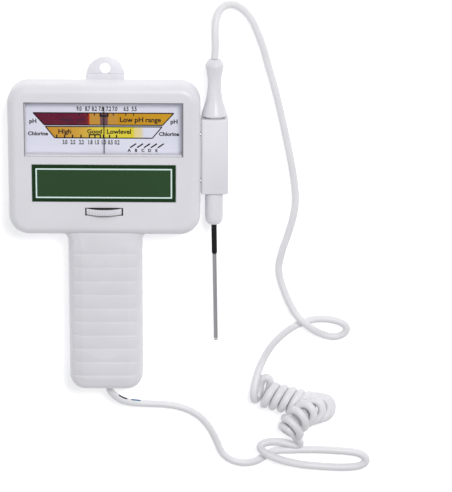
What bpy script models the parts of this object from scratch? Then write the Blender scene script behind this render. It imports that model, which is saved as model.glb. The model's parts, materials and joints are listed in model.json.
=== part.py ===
"""Pool and spa water tester: an analogue pH and chlorine meter with a probe on a curly cord.

The tester lies on its back. z = 0 is its back face, +Z comes out of the dial and +Y points to the
hanger tab. The origin is the middle of the head's back face. Dimensions are in millimetres, and
new_object() turns them into metres.
"""

import math

import bmesh
import bpy
from mathutils import Matrix, Vector

MM = 0.001
GAP = 0.3

# Case: a wide head over a narrow handle, split into a front cover and a rear cover
WALL = 2.2
HEAD_HALF_X = 52.2
HEAD_HALF_Y = 41.9
HEAD_CORNER = 11.0
HEAD_DEPTH = 30.0
HEAD_ROUNDING = 5.0
HANDLE_HALF_X = 20.4
HANDLE_END_Y = -133.1
HANDLE_CORNER = 9.0
HANDLE_DEPTH = 28.0
HANDLE_FLARE = 5.5
HANDLE_ROOT_Y = -36.0
PARTING_Z = 14.0
GROOVES = 10
GROOVE_FIRST_Y = -53.5
GROOVE_PITCH = 7.81
GROOVE_WIDTH = 0.9
GROOVE_DEPTH = 0.45
GROOVE_HALF_X = 17.2

# Hanger tab
TAB_TOP_Y = 51.9
TAB_RADIUS = 10.5
TAB_THICKNESS = 3.5
TAB_ROOT_Y = 37.3
TAB_HOLE_RADIUS = 3.1
TAB_HOLE_Y = 45.9

# Meter window, dial and label
WINDOW_HALF_X = 43.0
WINDOW_Y = (2.4, 32.3)
WINDOW_LEDGE = 0.6
PANE_TOP = 29.2
PANE_THICKNESS = 1.3
DIAL_TOP = 22.3
DIAL_THICKNESS = 0.8
LABEL_HALF_X = 39.0
LABEL_Y = (-22.6, -2.05)
LABEL_RECESS = 0.6

# Thumbwheel
WHEEL_RADIUS = 15.0
WHEEL_WIDTH = 3.5
WHEEL_Y = -28.35
WHEEL_Z = 18.3
SLOT_WIDTH = 4.3
AXLE_RADIUS = 1.5

# Moving-coil movement, turning about an upright staff
PIVOT_Y = -9.0
BORE_RADIUS = 8.0
CORE_RADIUS = 5.2
POLE_Z = (4.3, 16.0)
POINTER_Z = (22.9, 23.4)
POINTER_HUB_TOP = 23.9
POINTER_SLIT_HALF_X = 13.5
POINTER_TIP_Y = 28.7
STAFF_TOP = 25.2

# Probe and its holder
PROBE_X = 59.8
PROBE_Z = 15.0
HOLDER_X = (52.5, 67.6)
HOLDER_Y = (-20.5, 21.5)
HOLDER_Z = (6.5, 22.0)
BARREL_RADIUS = 4.95
CAP_END_Y = 53.8
CAP_START_Y = 22.4
BARREL_END_Y = -38.7
SLEEVE_END_Y = -55.5
TIP_Y = -107.9
ELECTRODE_LEAN = 1.1

# Cord
CORD_DIAMETER = 4.1
COIL_DIAMETER = 13.6
END_RUN = 2.0

WHITE = (0.70, 0.69, 0.72)
CREAM = (0.62, 0.61, 0.60)
STEEL = (0.60, 0.60, 0.62)
BRASS = (0.66, 0.50, 0.20)
BLACK = (0.02, 0.02, 0.022)


# ---------------------------------------------------------------- building blocks


def material(name, colour, roughness, metallic, alpha=1.0):
    made = bpy.data.materials.new(name)
    made.use_nodes = True
    shader = made.node_tree.nodes["Principled BSDF"]
    shader.inputs["Base Color"].default_value = (*colour, 1.0)
    shader.inputs["Roughness"].default_value = roughness
    shader.inputs["Metallic"].default_value = metallic
    shader.inputs["Alpha"].default_value = alpha
    return made


def new_object(name, shape, origin=(0, 0, 0), parent=None):
    """An object from a bmesh in millimetres, with its origin at a point of the tester's frame."""
    bmesh.ops.recalc_face_normals(shape, faces=shape.faces)
    bmesh.ops.transform(
        shape, matrix=Matrix.Scale(MM, 4) @ Matrix.Translation(-Vector(origin)), verts=shape.verts
    )
    mesh = bpy.data.meshes.new(name)
    shape.to_mesh(mesh)
    shape.free()
    made = bpy.data.objects.new(name, mesh)
    made.location = Vector(origin) * MM
    bpy.context.scene.collection.objects.link(made)
    if parent:
        made.parent = parent
        made.location = (Vector(origin) * MM) - parent.location
    return made


def finish(made, colour, roughness=0.45, metallic=0.0, alpha=1.0, smooth=True):
    made.data.materials.append(material(made.name, colour, roughness, metallic, alpha))
    if smooth and made.type == "MESH":
        made.data.shade_smooth()
        made.data.set_sharp_from_angle(angle=math.radians(35))
    return made


def cutter(name, shape):
    made = new_object(name, shape)
    made.hide_render = True
    made.display_type = "WIRE"
    return made


def combine(made, other, operation):
    step = made.modifiers.new(f"{operation.lower()} {other.name}", "BOOLEAN")
    step.operation = operation
    step.object = other
    return made


def cut(made, *cutters):
    for one in cutters:
        combine(made, one, "DIFFERENCE")
    return made


def join(made, *others):
    for one in others:
        combine(made, one, "UNION")
    return made


def loft(rings):
    """A closed body through rings of equal length, with a flat face on each end."""
    shape = bmesh.new()
    rows = [[shape.verts.new(point) for point in ring] for ring in rings]
    count = len(rows[0])
    for low, high in zip(rows, rows[1:]):
        for i in range(count):
            j = (i + 1) % count
            shape.faces.new((low[i], low[j], high[j], high[i]))
    shape.faces.new(reversed(rows[0]))
    shape.faces.new(rows[-1])
    return shape


def block(x, y, z):
    """A box from its lowest and highest x, y and z."""
    return loft([[(x[0], y[0], h), (x[1], y[0], h), (x[1], y[1], h), (x[0], y[1], h)] for h in z])


def turned(profile, centre, axis, segments):
    """A solid turned about an axis through centre, from (radius, distance along the axis) points."""
    along = Vector(axis)
    side = along.orthogonal().normalized()
    other = along.cross(side)
    rings = []
    for radius, distance in profile:
        middle = Vector(centre) + along * distance
        ring = []
        for i in range(segments):
            angle = 2 * math.pi * (i + 0.5) / segments
            ring.append(middle + radius * (math.cos(angle) * side + math.sin(angle) * other))
        rings.append(ring)
    return loft(rings)


def rod(radius, start, end, axis, centre, segments=16):
    """A cylinder along X, Y or Z; centre gives the two other coordinates, and start and end its own."""
    place = list(centre)
    place.insert("XYZ".index(axis), 0.0)
    direction = Vector([float(axis == letter) for letter in "XYZ"])
    return turned([(radius, start), (radius, end)], place, direction, segments)


def tube(outer, inner, start, end, axis, centre, segments=20):
    """A ring-shaped body: four rings joined into one closed skin."""
    place = list(centre)
    place.insert("XYZ".index(axis), 0.0)
    direction = Vector([float(axis == letter) for letter in "XYZ"])
    return ring_body([(outer, start), (outer, end), (inner, end), (inner, start)], place, direction, segments)


def ring_body(profile, centre, axis, segments):
    """A turned body with a bore: a closed (radius, distance) outline swept all the way round."""
    along = Vector(axis)
    side = along.orthogonal().normalized()
    other = along.cross(side)
    shape = bmesh.new()
    columns = []
    for i in range(segments):
        angle = 2 * math.pi * (i + 0.5) / segments
        out = math.cos(angle) * side + math.sin(angle) * other
        columns.append([shape.verts.new(Vector(centre) + along * d + out * r) for r, d in profile])
    for i in range(segments):
        here, after = columns[i], columns[(i + 1) % segments]
        for j in range(len(profile)):
            k = (j + 1) % len(profile)
            shape.faces.new((here[j], after[j], after[k], here[k]))
    return shape


def arc(centre, radius, start, end, steps):
    """Points on an arc, in degrees, both ends included."""
    points = []
    for i in range(steps + 1):
        angle = math.radians(start + (end - start) * i / steps)
        points.append((centre[0] + radius * math.cos(angle), centre[1] + radius * math.sin(angle)))
    return points


def smooth_route(points, spacing):
    """Evenly spaced points on a smooth curve through the given ones, and one just inside each end."""
    knots = [Vector(p) for p in points]
    knots = [2 * knots[0] - knots[1], *knots, 2 * knots[-1] - knots[-2]]
    fine = []
    for before, start, end, after in zip(knots, knots[1:], knots[2:], knots[3:]):
        for i in range(24):
            t = i / 24
            fine.append(
                0.5
                * (
                    2 * start
                    + (end - before) * t
                    + (2 * before - 5 * start + 4 * end - after) * t * t
                    + (3 * start - before - 3 * end + after) * t**3
                )
            )
    fine.append(knots[-2])
    lengths = [0.0]
    for a, b in zip(fine, fine[1:]):
        lengths.append(lengths[-1] + (b - a).length)
    count = max(2, round(lengths[-1] / spacing))
    wanted = [lengths[-1] * i / count for i in range(count + 1)]
    wanted[1:1] = [END_RUN]
    wanted[-1:-1] = [lengths[-1] - END_RUN]
    picked = []
    place = 0
    for want in wanted:
        while place < len(fine) - 2 and lengths[place + 1] < want:
            place += 1
        part = (want - lengths[place]) / max(lengths[place + 1] - lengths[place], 1e-9)
        picked.append(fine[place].lerp(fine[place + 1], min(part, 1.0)))
    return picked


def cord(name, points, diameter, spacing, resolution, parent=None):
    """A plain round cord: a bevelled curve along a smooth route."""
    curve = bpy.data.curves.new(name, "CURVE")
    curve.dimensions = "3D"
    curve.bevel_depth = diameter / 2 * MM
    curve.bevel_resolution = resolution
    curve.use_fill_caps = True
    route = smooth_route(points, spacing)
    line = curve.splines.new("POLY")
    line.points.add(len(route) - 1)
    for point, place in zip(line.points, route):
        point.co = (*(place * MM), 1.0)
    made = bpy.data.objects.new(name, curve)
    bpy.context.scene.collection.objects.link(made)
    if parent:
        made.parent = parent
        made.location = -parent.location
    made.data.materials.append(material(name, WHITE, 0.4, 0.0))
    return made


def coil_route():
    """The middle of the wound part of the cord."""
    start, fold = Vector(COIL_START), Vector(FOLD_START)
    route = []
    for i in range(5):
        t = i / 5
        route.append(start.lerp(fold, t) - Vector((0, 4 * COIL_BOW * t * (1 - t), 0)))
    for i in range(9):
        angle = FOLD_ANGLE * i / 8
        forward = FOLD_ADVANCE * (i / 8) ** 2
        up = FOLD_RADIUS * (1 - math.cos(angle))
        route.append(fold + Vector((FOLD_RADIUS * math.sin(angle), -forward, up)))
    ahead = Vector(
        (
            FOLD_RADIUS * math.cos(FOLD_ANGLE),
            -2 * FOLD_ADVANCE / FOLD_ANGLE,
            FOLD_RADIUS * math.sin(FOLD_ANGLE),
        )
    ).normalized()
    route += [route[-1] + SECOND_LEG / 2 * ahead, route[-1] + SECOND_LEG * ahead]
    return route


def pivot(name, place):
    """An empty on a joint's axis, the parent of the pieces that move with it."""
    made = bpy.data.objects.new(name, None)
    made.location = Vector(place) * MM
    bpy.context.scene.collection.objects.link(made)
    return made


# ---------------------------------------------------------------- case


def head_outline(inset, z):
    half_x, half_y = HEAD_HALF_X - inset, HEAD_HALF_Y - inset
    radius = HEAD_CORNER - inset
    points = []
    corners = ((1, 1, 0), (-1, 1, 90), (-1, -1, 180), (1, -1, 270))
    for sx, sy, start in corners:
        centre = (sx * (half_x - radius), sy * (half_y - radius))
        points += arc(centre, radius, start, start + 90, 6)
    return [(x, y, z) for x, y in points]


def handle_outline(inset, z):
    """The handle with the two flares that run up into the head."""
    half = HANDLE_HALF_X - inset
    flare_x = HANDLE_HALF_X + HANDLE_FLARE
    flare_y = -HEAD_HALF_Y - HANDLE_FLARE
    radius = HANDLE_CORNER - inset
    end = HANDLE_END_Y + inset
    points = [(flare_x, HANDLE_ROOT_Y), (-flare_x, HANDLE_ROOT_Y)]
    points += arc((-flare_x, flare_y), HANDLE_FLARE + inset, 90, 0, 4)
    points += arc((-half + radius, end + radius), radius, 180, 270, 5)
    points += arc((half - radius, end + radius), radius, 270, 360, 5)
    points += arc((flare_x, flare_y), HANDLE_FLARE + inset, 180, 90, 4)
    return [(x, y, z) for x, y in points]


def rounded_edge(top, radius, steps):
    """(z, inset) pairs of a quarter round that ends at the top."""
    pairs = []
    for i in range(steps + 1):
        angle = math.radians(90 * i / steps)
        pairs.append((top - radius + radius * math.sin(angle), radius * (1 - math.cos(angle))))
    return pairs


HANDLE_FRONT = ((20.5, 0.0), (24.0, 0.7), (26.0, 2.1), (26.9, 3.3), (HANDLE_DEPTH, 7.3))
HEAD_TAPER = ((0.0, 5.2), (0.5, 4.5), (1.6, 3.7), (3.2, 3.0), (6.0, 2.1))
HANDLE_TAPER = ((0.0, 2.2), (0.5, 1.4), (1.6, 0.8), (3.2, 0.5), (6.0, 0.3))


def cover_skin(name, head_levels, handle_levels):
    """One half of the case as a solid: the head with the handle joined on."""
    head = new_object(name, loft([head_outline(inset, z) for z, inset in head_levels]))
    handle = cutter(name + "_handle_part", loft([handle_outline(inset, z) for z, inset in handle_levels]))
    return join(head, handle)


def cavity(name, head_levels, handle_levels):
    """The space inside one half of the case: the same two shapes, a wall thickness smaller."""
    head = cutter(name + "_head_space", loft([head_outline(i + WALL, z) for z, i in head_levels]))
    handle = cutter(name + "_handle_space", loft([handle_outline(i + WALL, z) for z, i in handle_levels]))
    return head, handle


SCREW_PLACES = ((-41.5, 35.6), (41.5, 35.6), (-44.5, -33.5), (44.5, -33.5), (0.0, -58.0), (0.0, -112.0))
BOSS_RADIUS = 3.2
SCREW_HEAD_RADIUS = 2.5
SCREW_SHAFT_RADIUS = 1.4
SCREW_HEAD_Z = (1.2, 3.2)
SCREW_TIP_Z = 21.0
EXIT_X = 0.9
BUSH_RADIUS = 3.4


def screw_bosses(name, low, high):
    made = []
    for i, (x, y) in enumerate(SCREW_PLACES):
        made.append(cutter(f"{name}_boss_{i}", rod(BOSS_RADIUS, low, high, "Z", (x, y), 16)))
    return made


def merged(name, shapes):
    """One cutter from several separate shapes."""
    together = bmesh.new()
    for shape in shapes:
        mesh = bpy.data.meshes.new(name)
        shape.to_mesh(mesh)
        shape.free()
        together.from_mesh(mesh)
        bpy.data.meshes.remove(mesh)
    return cutter(name, together)


def screw_holes(name, radius, low, high):
    return merged(name, [rod(radius, low, high, "Z", place, 16) for place in SCREW_PLACES])


def front_cover():
    low = PARTING_Z + GAP / 2
    head = [(low, 0.0), *rounded_edge(HEAD_DEPTH, HEAD_ROUNDING, 4)]
    handle = [(low, 0.0), *HANDLE_FRONT]
    made = cover_skin("front_cover", head, handle)
    inner_top = HEAD_DEPTH - WALL
    head_space = [(low - 1, 0.0), *rounded_edge(inner_top, HEAD_ROUNDING - WALL, 3)]
    handle_space = [(low - 1, 0.0), (20.5, 0.0), (24.6, 1.6), (HANDLE_DEPTH - WALL, 5.0)]
    cut(made, *cavity("front_cover", head_space, handle_space))

    # The collar round the window reaches down to just above the dial.
    collar_low = DIAL_TOP + GAP
    y0, y1 = WINDOW_Y
    collar = cutter(
        "window_collar",
        block((-WINDOW_HALF_X - 1.4, WINDOW_HALF_X + 1.4), (y0 - 1.4, y1 + 1.4), (collar_low, 28.2)),
    )
    join(made, collar, *screw_bosses("front_cover", low, 28.2))
    seat = cutter("pane_seat", block((-WINDOW_HALF_X, WINDOW_HALF_X), WINDOW_Y, (PANE_TOP - 1.6, 31)))
    ledge_x = WINDOW_HALF_X - WINDOW_LEDGE
    opening = cutter(
        "window_opening",
        block((-ledge_x, ledge_x), (y0 + WINDOW_LEDGE, y1 - WINDOW_LEDGE), (collar_low - 1, 31)),
    )
    label = cutter(
        "label_recess",
        block(
            (-LABEL_HALF_X - GAP, LABEL_HALF_X + GAP),
            (LABEL_Y[0] - GAP, LABEL_Y[1] + GAP),
            (HEAD_DEPTH - LABEL_RECESS, 31),
        ),
    )
    slit = cutter(
        "pointer_slit",
        block(
            (-POINTER_SLIT_HALF_X, POINTER_SLIT_HALF_X),
            (y0 - 2, y0 + WINDOW_LEDGE + 0.5),
            (collar_low - 1, POINTER_Z[1] + 0.5),
        ),
    )
    slot = cutter(
        "wheel_slot",
        rod(
            WHEEL_RADIUS + 0.5,
            WHEEL_Y - SLOT_WIDTH / 2,
            WHEEL_Y + SLOT_WIDTH / 2,
            "Y",
            (0.0, WHEEL_Z),
            48,
        ),
    )
    cut(made, seat, opening, label, slit, slot, grip_grooves())
    cut(made, screw_holes("front_screw_holes", SCREW_SHAFT_RADIUS + GAP, low - 1, SCREW_TIP_Z + 1))
    cut(made, bush_hole("front_bush_hole"), holder_screw_holes("front_holder_holes"))
    return finish(made, WHITE, 0.42)


def grip_grooves():
    """Shallow cross grooves down the front of the handle."""
    grooves = []
    for i in range(GROOVES):
        y = GROOVE_FIRST_Y - GROOVE_PITCH * i
        z = (HANDLE_DEPTH - GROOVE_DEPTH, HANDLE_DEPTH + 1)
        grooves.append(block((-GROOVE_HALF_X, GROOVE_HALF_X), (y, y + GROOVE_WIDTH), z))
    return merged("grip_grooves", grooves)


def bush_hole(name):
    """The hole in the handle's end that holds the cord bush, half of it in each cover."""
    return cutter(
        name,
        rod(BUSH_RADIUS + GAP, HANDLE_END_Y - 2, HANDLE_END_Y + WALL + 1, "Y", (EXIT_X, PARTING_Z), 16),
    )


HOLDER_SCREW_Y = (-13.0, 13.0)
HOLDER_SCREW_Z = 19.5
HOLDER_SCREW_RADIUS = 1.3


def holder_screw_holes(name):
    x = (HEAD_HALF_X - 4, HEAD_HALF_X + 2.7)
    places = [(y, HOLDER_SCREW_Z) for y in HOLDER_SCREW_Y]
    return merged(name, [rod(HOLDER_SCREW_RADIUS + GAP, *x, "X", place, 12) for place in places])


def rear_cover():
    high = PARTING_Z - GAP / 2
    made = cover_skin("rear_cover", [*HEAD_TAPER, (high, 0.0)], [*HANDLE_TAPER, (high, 0.0)])
    head_space = [(WALL, 3.4), (6.0, 2.1), (high, 0.0), (high + 1, 0.0)]
    handle_space = [(WALL, 0.7), (6.0, 0.3), (high, 0.0), (high + 1, 0.0)]
    cut(made, *cavity("rear_cover", head_space, handle_space))
    join(made, hanger_tab(), *screw_bosses("rear_cover", 1.0, high))
    heads = screw_holes("screw_head_holes", SCREW_HEAD_RADIUS + GAP, -1, SCREW_HEAD_Z[1] + GAP)
    shafts = screw_holes("screw_shaft_holes", SCREW_SHAFT_RADIUS + GAP, -1, high + 1)
    hanger_hole = cutter(
        "hanger_hole", rod(TAB_HOLE_RADIUS, -1, TAB_THICKNESS + 3, "Z", (0.0, TAB_HOLE_Y), 24)
    )
    cut(made, heads, shafts, hanger_hole, bush_hole("rear_bush_hole"))
    return finish(made, WHITE, 0.42)


def hanger_tab():
    """A half-round tab on the head's top edge, with a thicker band along its root."""
    centre = (0.0, TAB_TOP_Y - TAB_RADIUS)
    outline = [(TAB_RADIUS, TAB_ROOT_Y), *arc(centre, TAB_RADIUS, 0, 180, 16)]
    outline.append((-TAB_RADIUS, TAB_ROOT_Y))
    levels = [(0.0, 0.4), (0.4, 0.0), (TAB_THICKNESS - 0.4, 0.0), (TAB_THICKNESS, 0.4)]
    rings = []
    for z, inset in levels:
        scale = (TAB_RADIUS - inset) / TAB_RADIUS
        rings.append([(x * scale, centre[1] + (y - centre[1]) * scale, z) for x, y in outline])
    tab = cutter("hanger_tab", loft(rings))
    band = cutter("hanger_band", block((-10.3, 10.3), (TAB_ROOT_Y, HEAD_HALF_Y + 1.2), (0.5, 5.0)))
    return join(tab, band)


def case_screws():
    for i, (x, y) in enumerate(SCREW_PLACES):
        head_low, head_high = SCREW_HEAD_Z
        profile = [
            (SCREW_HEAD_RADIUS - 0.3, head_low),
            (SCREW_HEAD_RADIUS, head_low + 0.3),
            (SCREW_HEAD_RADIUS, head_high),
            (SCREW_SHAFT_RADIUS, head_high),
            (SCREW_SHAFT_RADIUS, SCREW_TIP_Z - 1.5),
            (0.5, SCREW_TIP_Z),
        ]
        shape = turned(profile, (x, y, 0), (0, 0, 1), 12)
        finish(new_object(f"case_screw_{i + 1}", shape), STEEL, 0.35, 1.0)


# ---------------------------------------------------------------- front panel pieces


def label_plate():
    low = HEAD_DEPTH - LABEL_RECESS + GAP
    shape = block((-LABEL_HALF_X, LABEL_HALF_X), LABEL_Y, (low, HEAD_DEPTH + 0.1))
    finish(new_object("label_plate", shape), (0.03, 0.09, 0.035), 0.5, smooth=False)


def meter_window():
    half_x = WINDOW_HALF_X - GAP
    y0, y1 = WINDOW_Y
    low = PANE_TOP - PANE_THICKNESS
    shape = block((-half_x, half_x), (y0 + GAP, y1 - GAP), (low, PANE_TOP))
    finish(new_object("meter_window", shape), (0.9, 0.92, 0.95), 0.05, alpha=0.2, smooth=False)


def dial_plate():
    low = DIAL_TOP - DIAL_THICKNESS
    shape = block((-44.2, 44.2), (0.4, 32.1), (low, DIAL_TOP))
    finish(new_object("dial_plate", shape), (0.74, 0.75, 0.85), 0.5, smooth=False)


def dial_supports():
    """Two blocks that stand on the rear cover and carry the dial."""
    top = DIAL_TOP - DIAL_THICKNESS - GAP
    for name, side in (("dial_support_left", -1), ("dial_support_right", 1)):
        x = sorted((side * 30.0, side * 33.0))
        foot = cutter(name + "_foot", block(sorted((side * 26.0, side * 37.0)), (4, 28), (WALL + GAP, 4.0)))
        made = new_object(name, block(x, (6, 26), (WALL + GAP, top)))
        finish(join(made, foot), CREAM, 0.5, smooth=False)


# ---------------------------------------------------------------- movement


def movement_base():
    made = new_object("movement_base", block((-22, 22), (-26, 14), (WALL + GAP, 4.0)))
    finish(made, CREAM, 0.5, smooth=False)


def magnet():
    shape = block((-8.6 + GAP, 8.6 - GAP), (2.0, 12.0), POLE_Z)
    finish(new_object("magnet", shape), (0.12, 0.12, 0.13), 0.5, 0.4, smooth=False)


def pole_pieces():
    bore = cutter("pole_bore", rod(BORE_RADIUS, POLE_Z[0] - 1, POLE_Z[1] + 1, "Z", (0.0, PIVOT_Y), 32))
    for name, side in (("pole_piece_left", -1), ("pole_piece_right", 1)):
        x = sorted((side * 14.0, side * 4.5))
        arm = new_object(name, block(x, (-17.0, -1.0), POLE_Z))
        cheek = cutter(name + "_cheek", block(sorted((side * 14.0, side * 8.6)), (-3.0, 12.0), POLE_Z))
        finish(cut(join(arm, cheek), bore), STEEL, 0.4, 1.0)


def iron_core():
    """The soft-iron cylinder inside the coil, held by a stem from the magnet."""
    core = new_object("iron_core", rod(CORE_RADIUS, 7.3, 15.6, "Z", (0.0, PIVOT_Y), 24))
    stem = cutter("core_stem", block((-1.5, 1.5), (PIVOT_Y + 4, 2.0 - GAP), (9.0, 13.0)))
    finish(join(core, stem), STEEL, 0.4, 1.0)


def upper_bridge():
    bar = new_object("upper_bridge", block((-11.5, 11.5), (-17.0, -7.0), (STAFF_TOP + GAP, 26.8)))
    posts = [
        cutter(f"bridge_post_{i}", rod(1.6, POLE_Z[1] + GAP, 26.0, "Z", (x, -15.2), 12))
        for i, x in enumerate((-9.6, 9.6))
    ]
    finish(join(bar, *posts), BRASS, 0.35, 1.0)


def moving_coil(parent):
    """The wound frame round the core: an upright rectangle with a rectangular eye."""
    origin = (0.0, PIVOT_Y, 0.0)
    frame = block((-7.0, 7.0), (PIVOT_Y - 1.9, PIVOT_Y + 1.9), (5.2, 17.8))
    made = new_object("moving_coil", frame, origin, parent)
    eye = cutter("coil_eye", block((-5.8, 5.8), (PIVOT_Y - 3, PIVOT_Y + 3), (6.5, 16.5)))
    finish(cut(made, eye), (0.60, 0.25, 0.08), 0.4, 0.6, smooth=False)


def staff(parent):
    origin = (0.0, PIVOT_Y, 0.0)
    upper = rod(0.8, 17.8 + GAP, STAFF_TOP, "Z", (0.0, PIVOT_Y), 12)
    finish(new_object("upper_staff", upper, origin, parent), STEEL, 0.3, 1.0)
    lower = rod(0.8, 4.0 + GAP, 5.2 - GAP, "Z", (0.0, PIVOT_Y), 12)
    finish(new_object("lower_staff", lower, origin, parent), STEEL, 0.3, 1.0)


def pointer(parent):
    """A hub on the staff, a long needle towards the dial and a short tail."""
    origin = (0.0, PIVOT_Y, 0.0)
    hub = tube(2.4, 1.1, POINTER_Z[0], POINTER_HUB_TOP, "Z", (0.0, PIVOT_Y), 20)
    made = new_object("pointer", hub, origin, parent)
    needle = cutter("needle", block((-0.2, 0.2), (PIVOT_Y + 1.8, POINTER_TIP_Y), POINTER_Z))
    tail = cutter("tail", block((-0.6, 0.6), (PIVOT_Y - 6.2, PIVOT_Y - 1.8), POINTER_Z))
    finish(join(made, needle, tail), BLACK, 0.5)


def counterweight(parent):
    origin = (0.0, PIVOT_Y, 0.0)
    shape = rod(1.5, POINTER_Z[0] - 1.4, POINTER_Z[0] - GAP, "Z", (0.0, PIVOT_Y - 4.6), 16)
    finish(new_object("counterweight", shape, origin, parent), BRASS, 0.35, 1.0)


def hairspring(parent):
    """A flat spiral ribbon round the staff."""
    origin = (0.0, PIVOT_Y, 0.0)
    turns, per_turn = 2.5, 16
    z0, z1, half = 19.4, 20.2, 0.1
    rings = []
    for i in range(int(turns * per_turn) + 1):
        angle = 2 * math.pi * i / per_turn
        radius = 1.5 + 1.3 * i / per_turn
        out = Vector((math.cos(angle), math.sin(angle), 0.0))
        centre = Vector((0.0, PIVOT_Y, 0.0)) + out * radius
        corners = ((-half, z0), (half, z0), (half, z1), (-half, z1))
        rings.append([centre + out * r + Vector((0, 0, z)) for r, z in corners])
    finish(new_object("hairspring", loft(rings), origin, parent), BRASS, 0.3, 1.0, smooth=False)


# ---------------------------------------------------------------- thumbwheel and switch


def thumbwheel(parent):
    origin = (0.0, WHEEL_Y, WHEEL_Z)
    half = WHEEL_WIDTH / 2
    profile = [
        (WHEEL_RADIUS - 0.35, WHEEL_Y - half),
        (WHEEL_RADIUS, WHEEL_Y - half + 0.35),
        (WHEEL_RADIUS, WHEEL_Y + half - 0.35),
        (WHEEL_RADIUS - 0.35, WHEEL_Y + half),
        (AXLE_RADIUS + GAP, WHEEL_Y + half),
        (AXLE_RADIUS + GAP, WHEEL_Y - half),
    ]
    shape = ring_body(profile, (0, 0, WHEEL_Z), (0, 1, 0), 48)
    finish(new_object("thumbwheel", shape, origin, parent), WHITE, 0.4)


def wheel_axle(parent):
    origin = (0.0, WHEEL_Y, WHEEL_Z)
    shape = rod(AXLE_RADIUS, -35.2, -25.3, "Y", (0.0, WHEEL_Z), 16)
    finish(new_object("wheel_axle", shape, origin, parent), STEEL, 0.3, 1.0)


def selector_switch():
    """The rotary switch behind the wheel, standing on the movement's base."""
    shape = block((-7, 7), (-25.0, -20.6), (4.0 + GAP, 25.4))
    finish(new_object("selector_switch", shape), (0.05, 0.06, 0.12), 0.45, smooth=False)


def axle_bracket():
    """The post that carries the axle's other end."""
    made = new_object("axle_bracket", block((-5, 5), (-36.2, -33.6), (WALL + GAP, 23.0)))
    hole = cutter("axle_hole", rod(AXLE_RADIUS + 0.1, -38, -32, "Y", (0.0, WHEEL_Z), 16))
    finish(cut(made, hole), CREAM, 0.5, smooth=False)


def circuit_board():
    board = new_object("circuit_board", block((25.0, 46.0), (-28.0, -3.0), (6.0, 7.6)))
    finish(board, (0.02, 0.16, 0.06), 0.4, smooth=False)
    trimmer = new_object("trimmer_pot", rod(3.2, 7.6 + GAP, 12.0, "Z", (31.0, -9.0), 16))
    finish(trimmer, (0.05, 0.12, 0.45), 0.45)
    resistor = new_object("load_resistor", rod(1.3, -24.0, -15.0, "Y", (39.0, 7.6 + GAP + 1.3), 12))
    finish(resistor, (0.55, 0.40, 0.25), 0.5)
    for i, (x, y) in enumerate(((27.5, -25.5), (43.5, -5.5))):
        post = rod(1.8, WALL + GAP, 6.0 - GAP, "Z", (x, y), 12)
        finish(new_object(f"board_post_{i + 1}", post), CREAM, 0.5)


# ---------------------------------------------------------------- probe holder and probe


def probe_holder():
    rounding = 1.7
    (x0, x1), (y0, y1), (z0, z1) = HOLDER_X, HOLDER_Y, HOLDER_Z

    def section(inset, y):
        corners = [
            (x1 - inset, z1 - inset, 0),
            (x0 + inset, z1 - inset, 90),
            (x0 + inset, z0 + inset, 180),
            (x1 - inset, z0 + inset, 270),
        ]
        points = []
        radius = rounding - inset
        for x, z, start in corners:
            sx = -1 if start in (0, 270) else 1
            sz = -1 if start in (0, 90) else 1
            points += arc((x + sx * radius, z + sz * radius), radius, start, start + 90, 4)
        return [(x, y, z) for x, z in reversed(points)]

    levels = ((y0, 0.8), (y0 + 0.25, 0.25), (y0 + 0.8, 0.0), (y1 - 0.8, 0.0), (y1 - 0.25, 0.25), (y1, 0.8))
    made = new_object("probe_holder", loft([section(inset, y) for y, inset in levels]))
    bore = cutter("holder_bore", rod(BARREL_RADIUS + GAP, y0 - 1, y1 + 1, "Y", (PROBE_X, PROBE_Z), 32))
    cut(made, bore, holder_screw_holes("holder_screw_holes"))
    finish(made, WHITE, 0.42)
    for i, y in enumerate(HOLDER_SCREW_Y):
        inside = HEAD_HALF_X - WALL - GAP
        shaft = HOLDER_SCREW_RADIUS
        profile = [(2.4, inside - 1.8), (2.4, inside), (shaft, inside), (shaft, HEAD_HALF_X + 2.4)]
        screw = turned(profile, (0, y, HOLDER_SCREW_Z), (1, 0, 0), 12)
        finish(new_object(f"holder_screw_{i + 1}", screw), STEEL, 0.35, 1.0)


def along_probe(profile, segments=24):
    return turned(profile, (PROBE_X, 0, PROBE_Z), (0, 1, 0), segments)


def bored_along_probe(profile, segments=24):
    return ring_body(profile, (PROBE_X, 0, PROBE_Z), (0, 1, 0), segments)


CAP_PROFILE = (
    (6.7, CAP_START_Y),
    (7.0, 22.8),
    (6.75, 24.2),
    (5.9, 26.8),
    (4.9, 30.0),
    (4.2, 33.6),
    (3.8, 37.5),
    (3.75, 41.5),
    (4.15, 45.5),
    (4.8, 48.6),
    (5.05, 50.2),
    (4.7, 51.4),
    (3.7, 52.8),
    (2.7, CAP_END_Y),
)
SPIGOT_RADIUS = 3.0
SPIGOT_TOP_Y = 28.0
BARREL_BORE = 2.0


def probe_cap(parent):
    """A bell over the barrel's end; its blind socket takes the barrel's spigot."""
    socket_radius, socket_end = SPIGOT_RADIUS + GAP, SPIGOT_TOP_Y + GAP
    profile = [*reversed(CAP_PROFILE), (socket_radius, CAP_START_Y), (socket_radius, socket_end)]
    made = new_object("probe_cap", along_probe(profile, 28), (PROBE_X, 0, PROBE_Z), parent)
    finish(made, WHITE, 0.42)


def probe_barrel(parent):
    end = BARREL_END_Y
    profile = [
        (BARREL_BORE, end),
        (2.9, end),
        (4.3, end + 1.6),
        (BARREL_RADIUS, end + 3.4),
        (BARREL_RADIUS, CAP_START_Y - GAP),
        (SPIGOT_RADIUS, CAP_START_Y - GAP),
        (SPIGOT_RADIUS, SPIGOT_TOP_Y),
        (BARREL_BORE, SPIGOT_TOP_Y),
    ]
    made = new_object("probe_barrel", bored_along_probe(profile, 28), (PROBE_X, 0, PROBE_Z), parent)
    finish(made, WHITE, 0.4)


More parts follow.
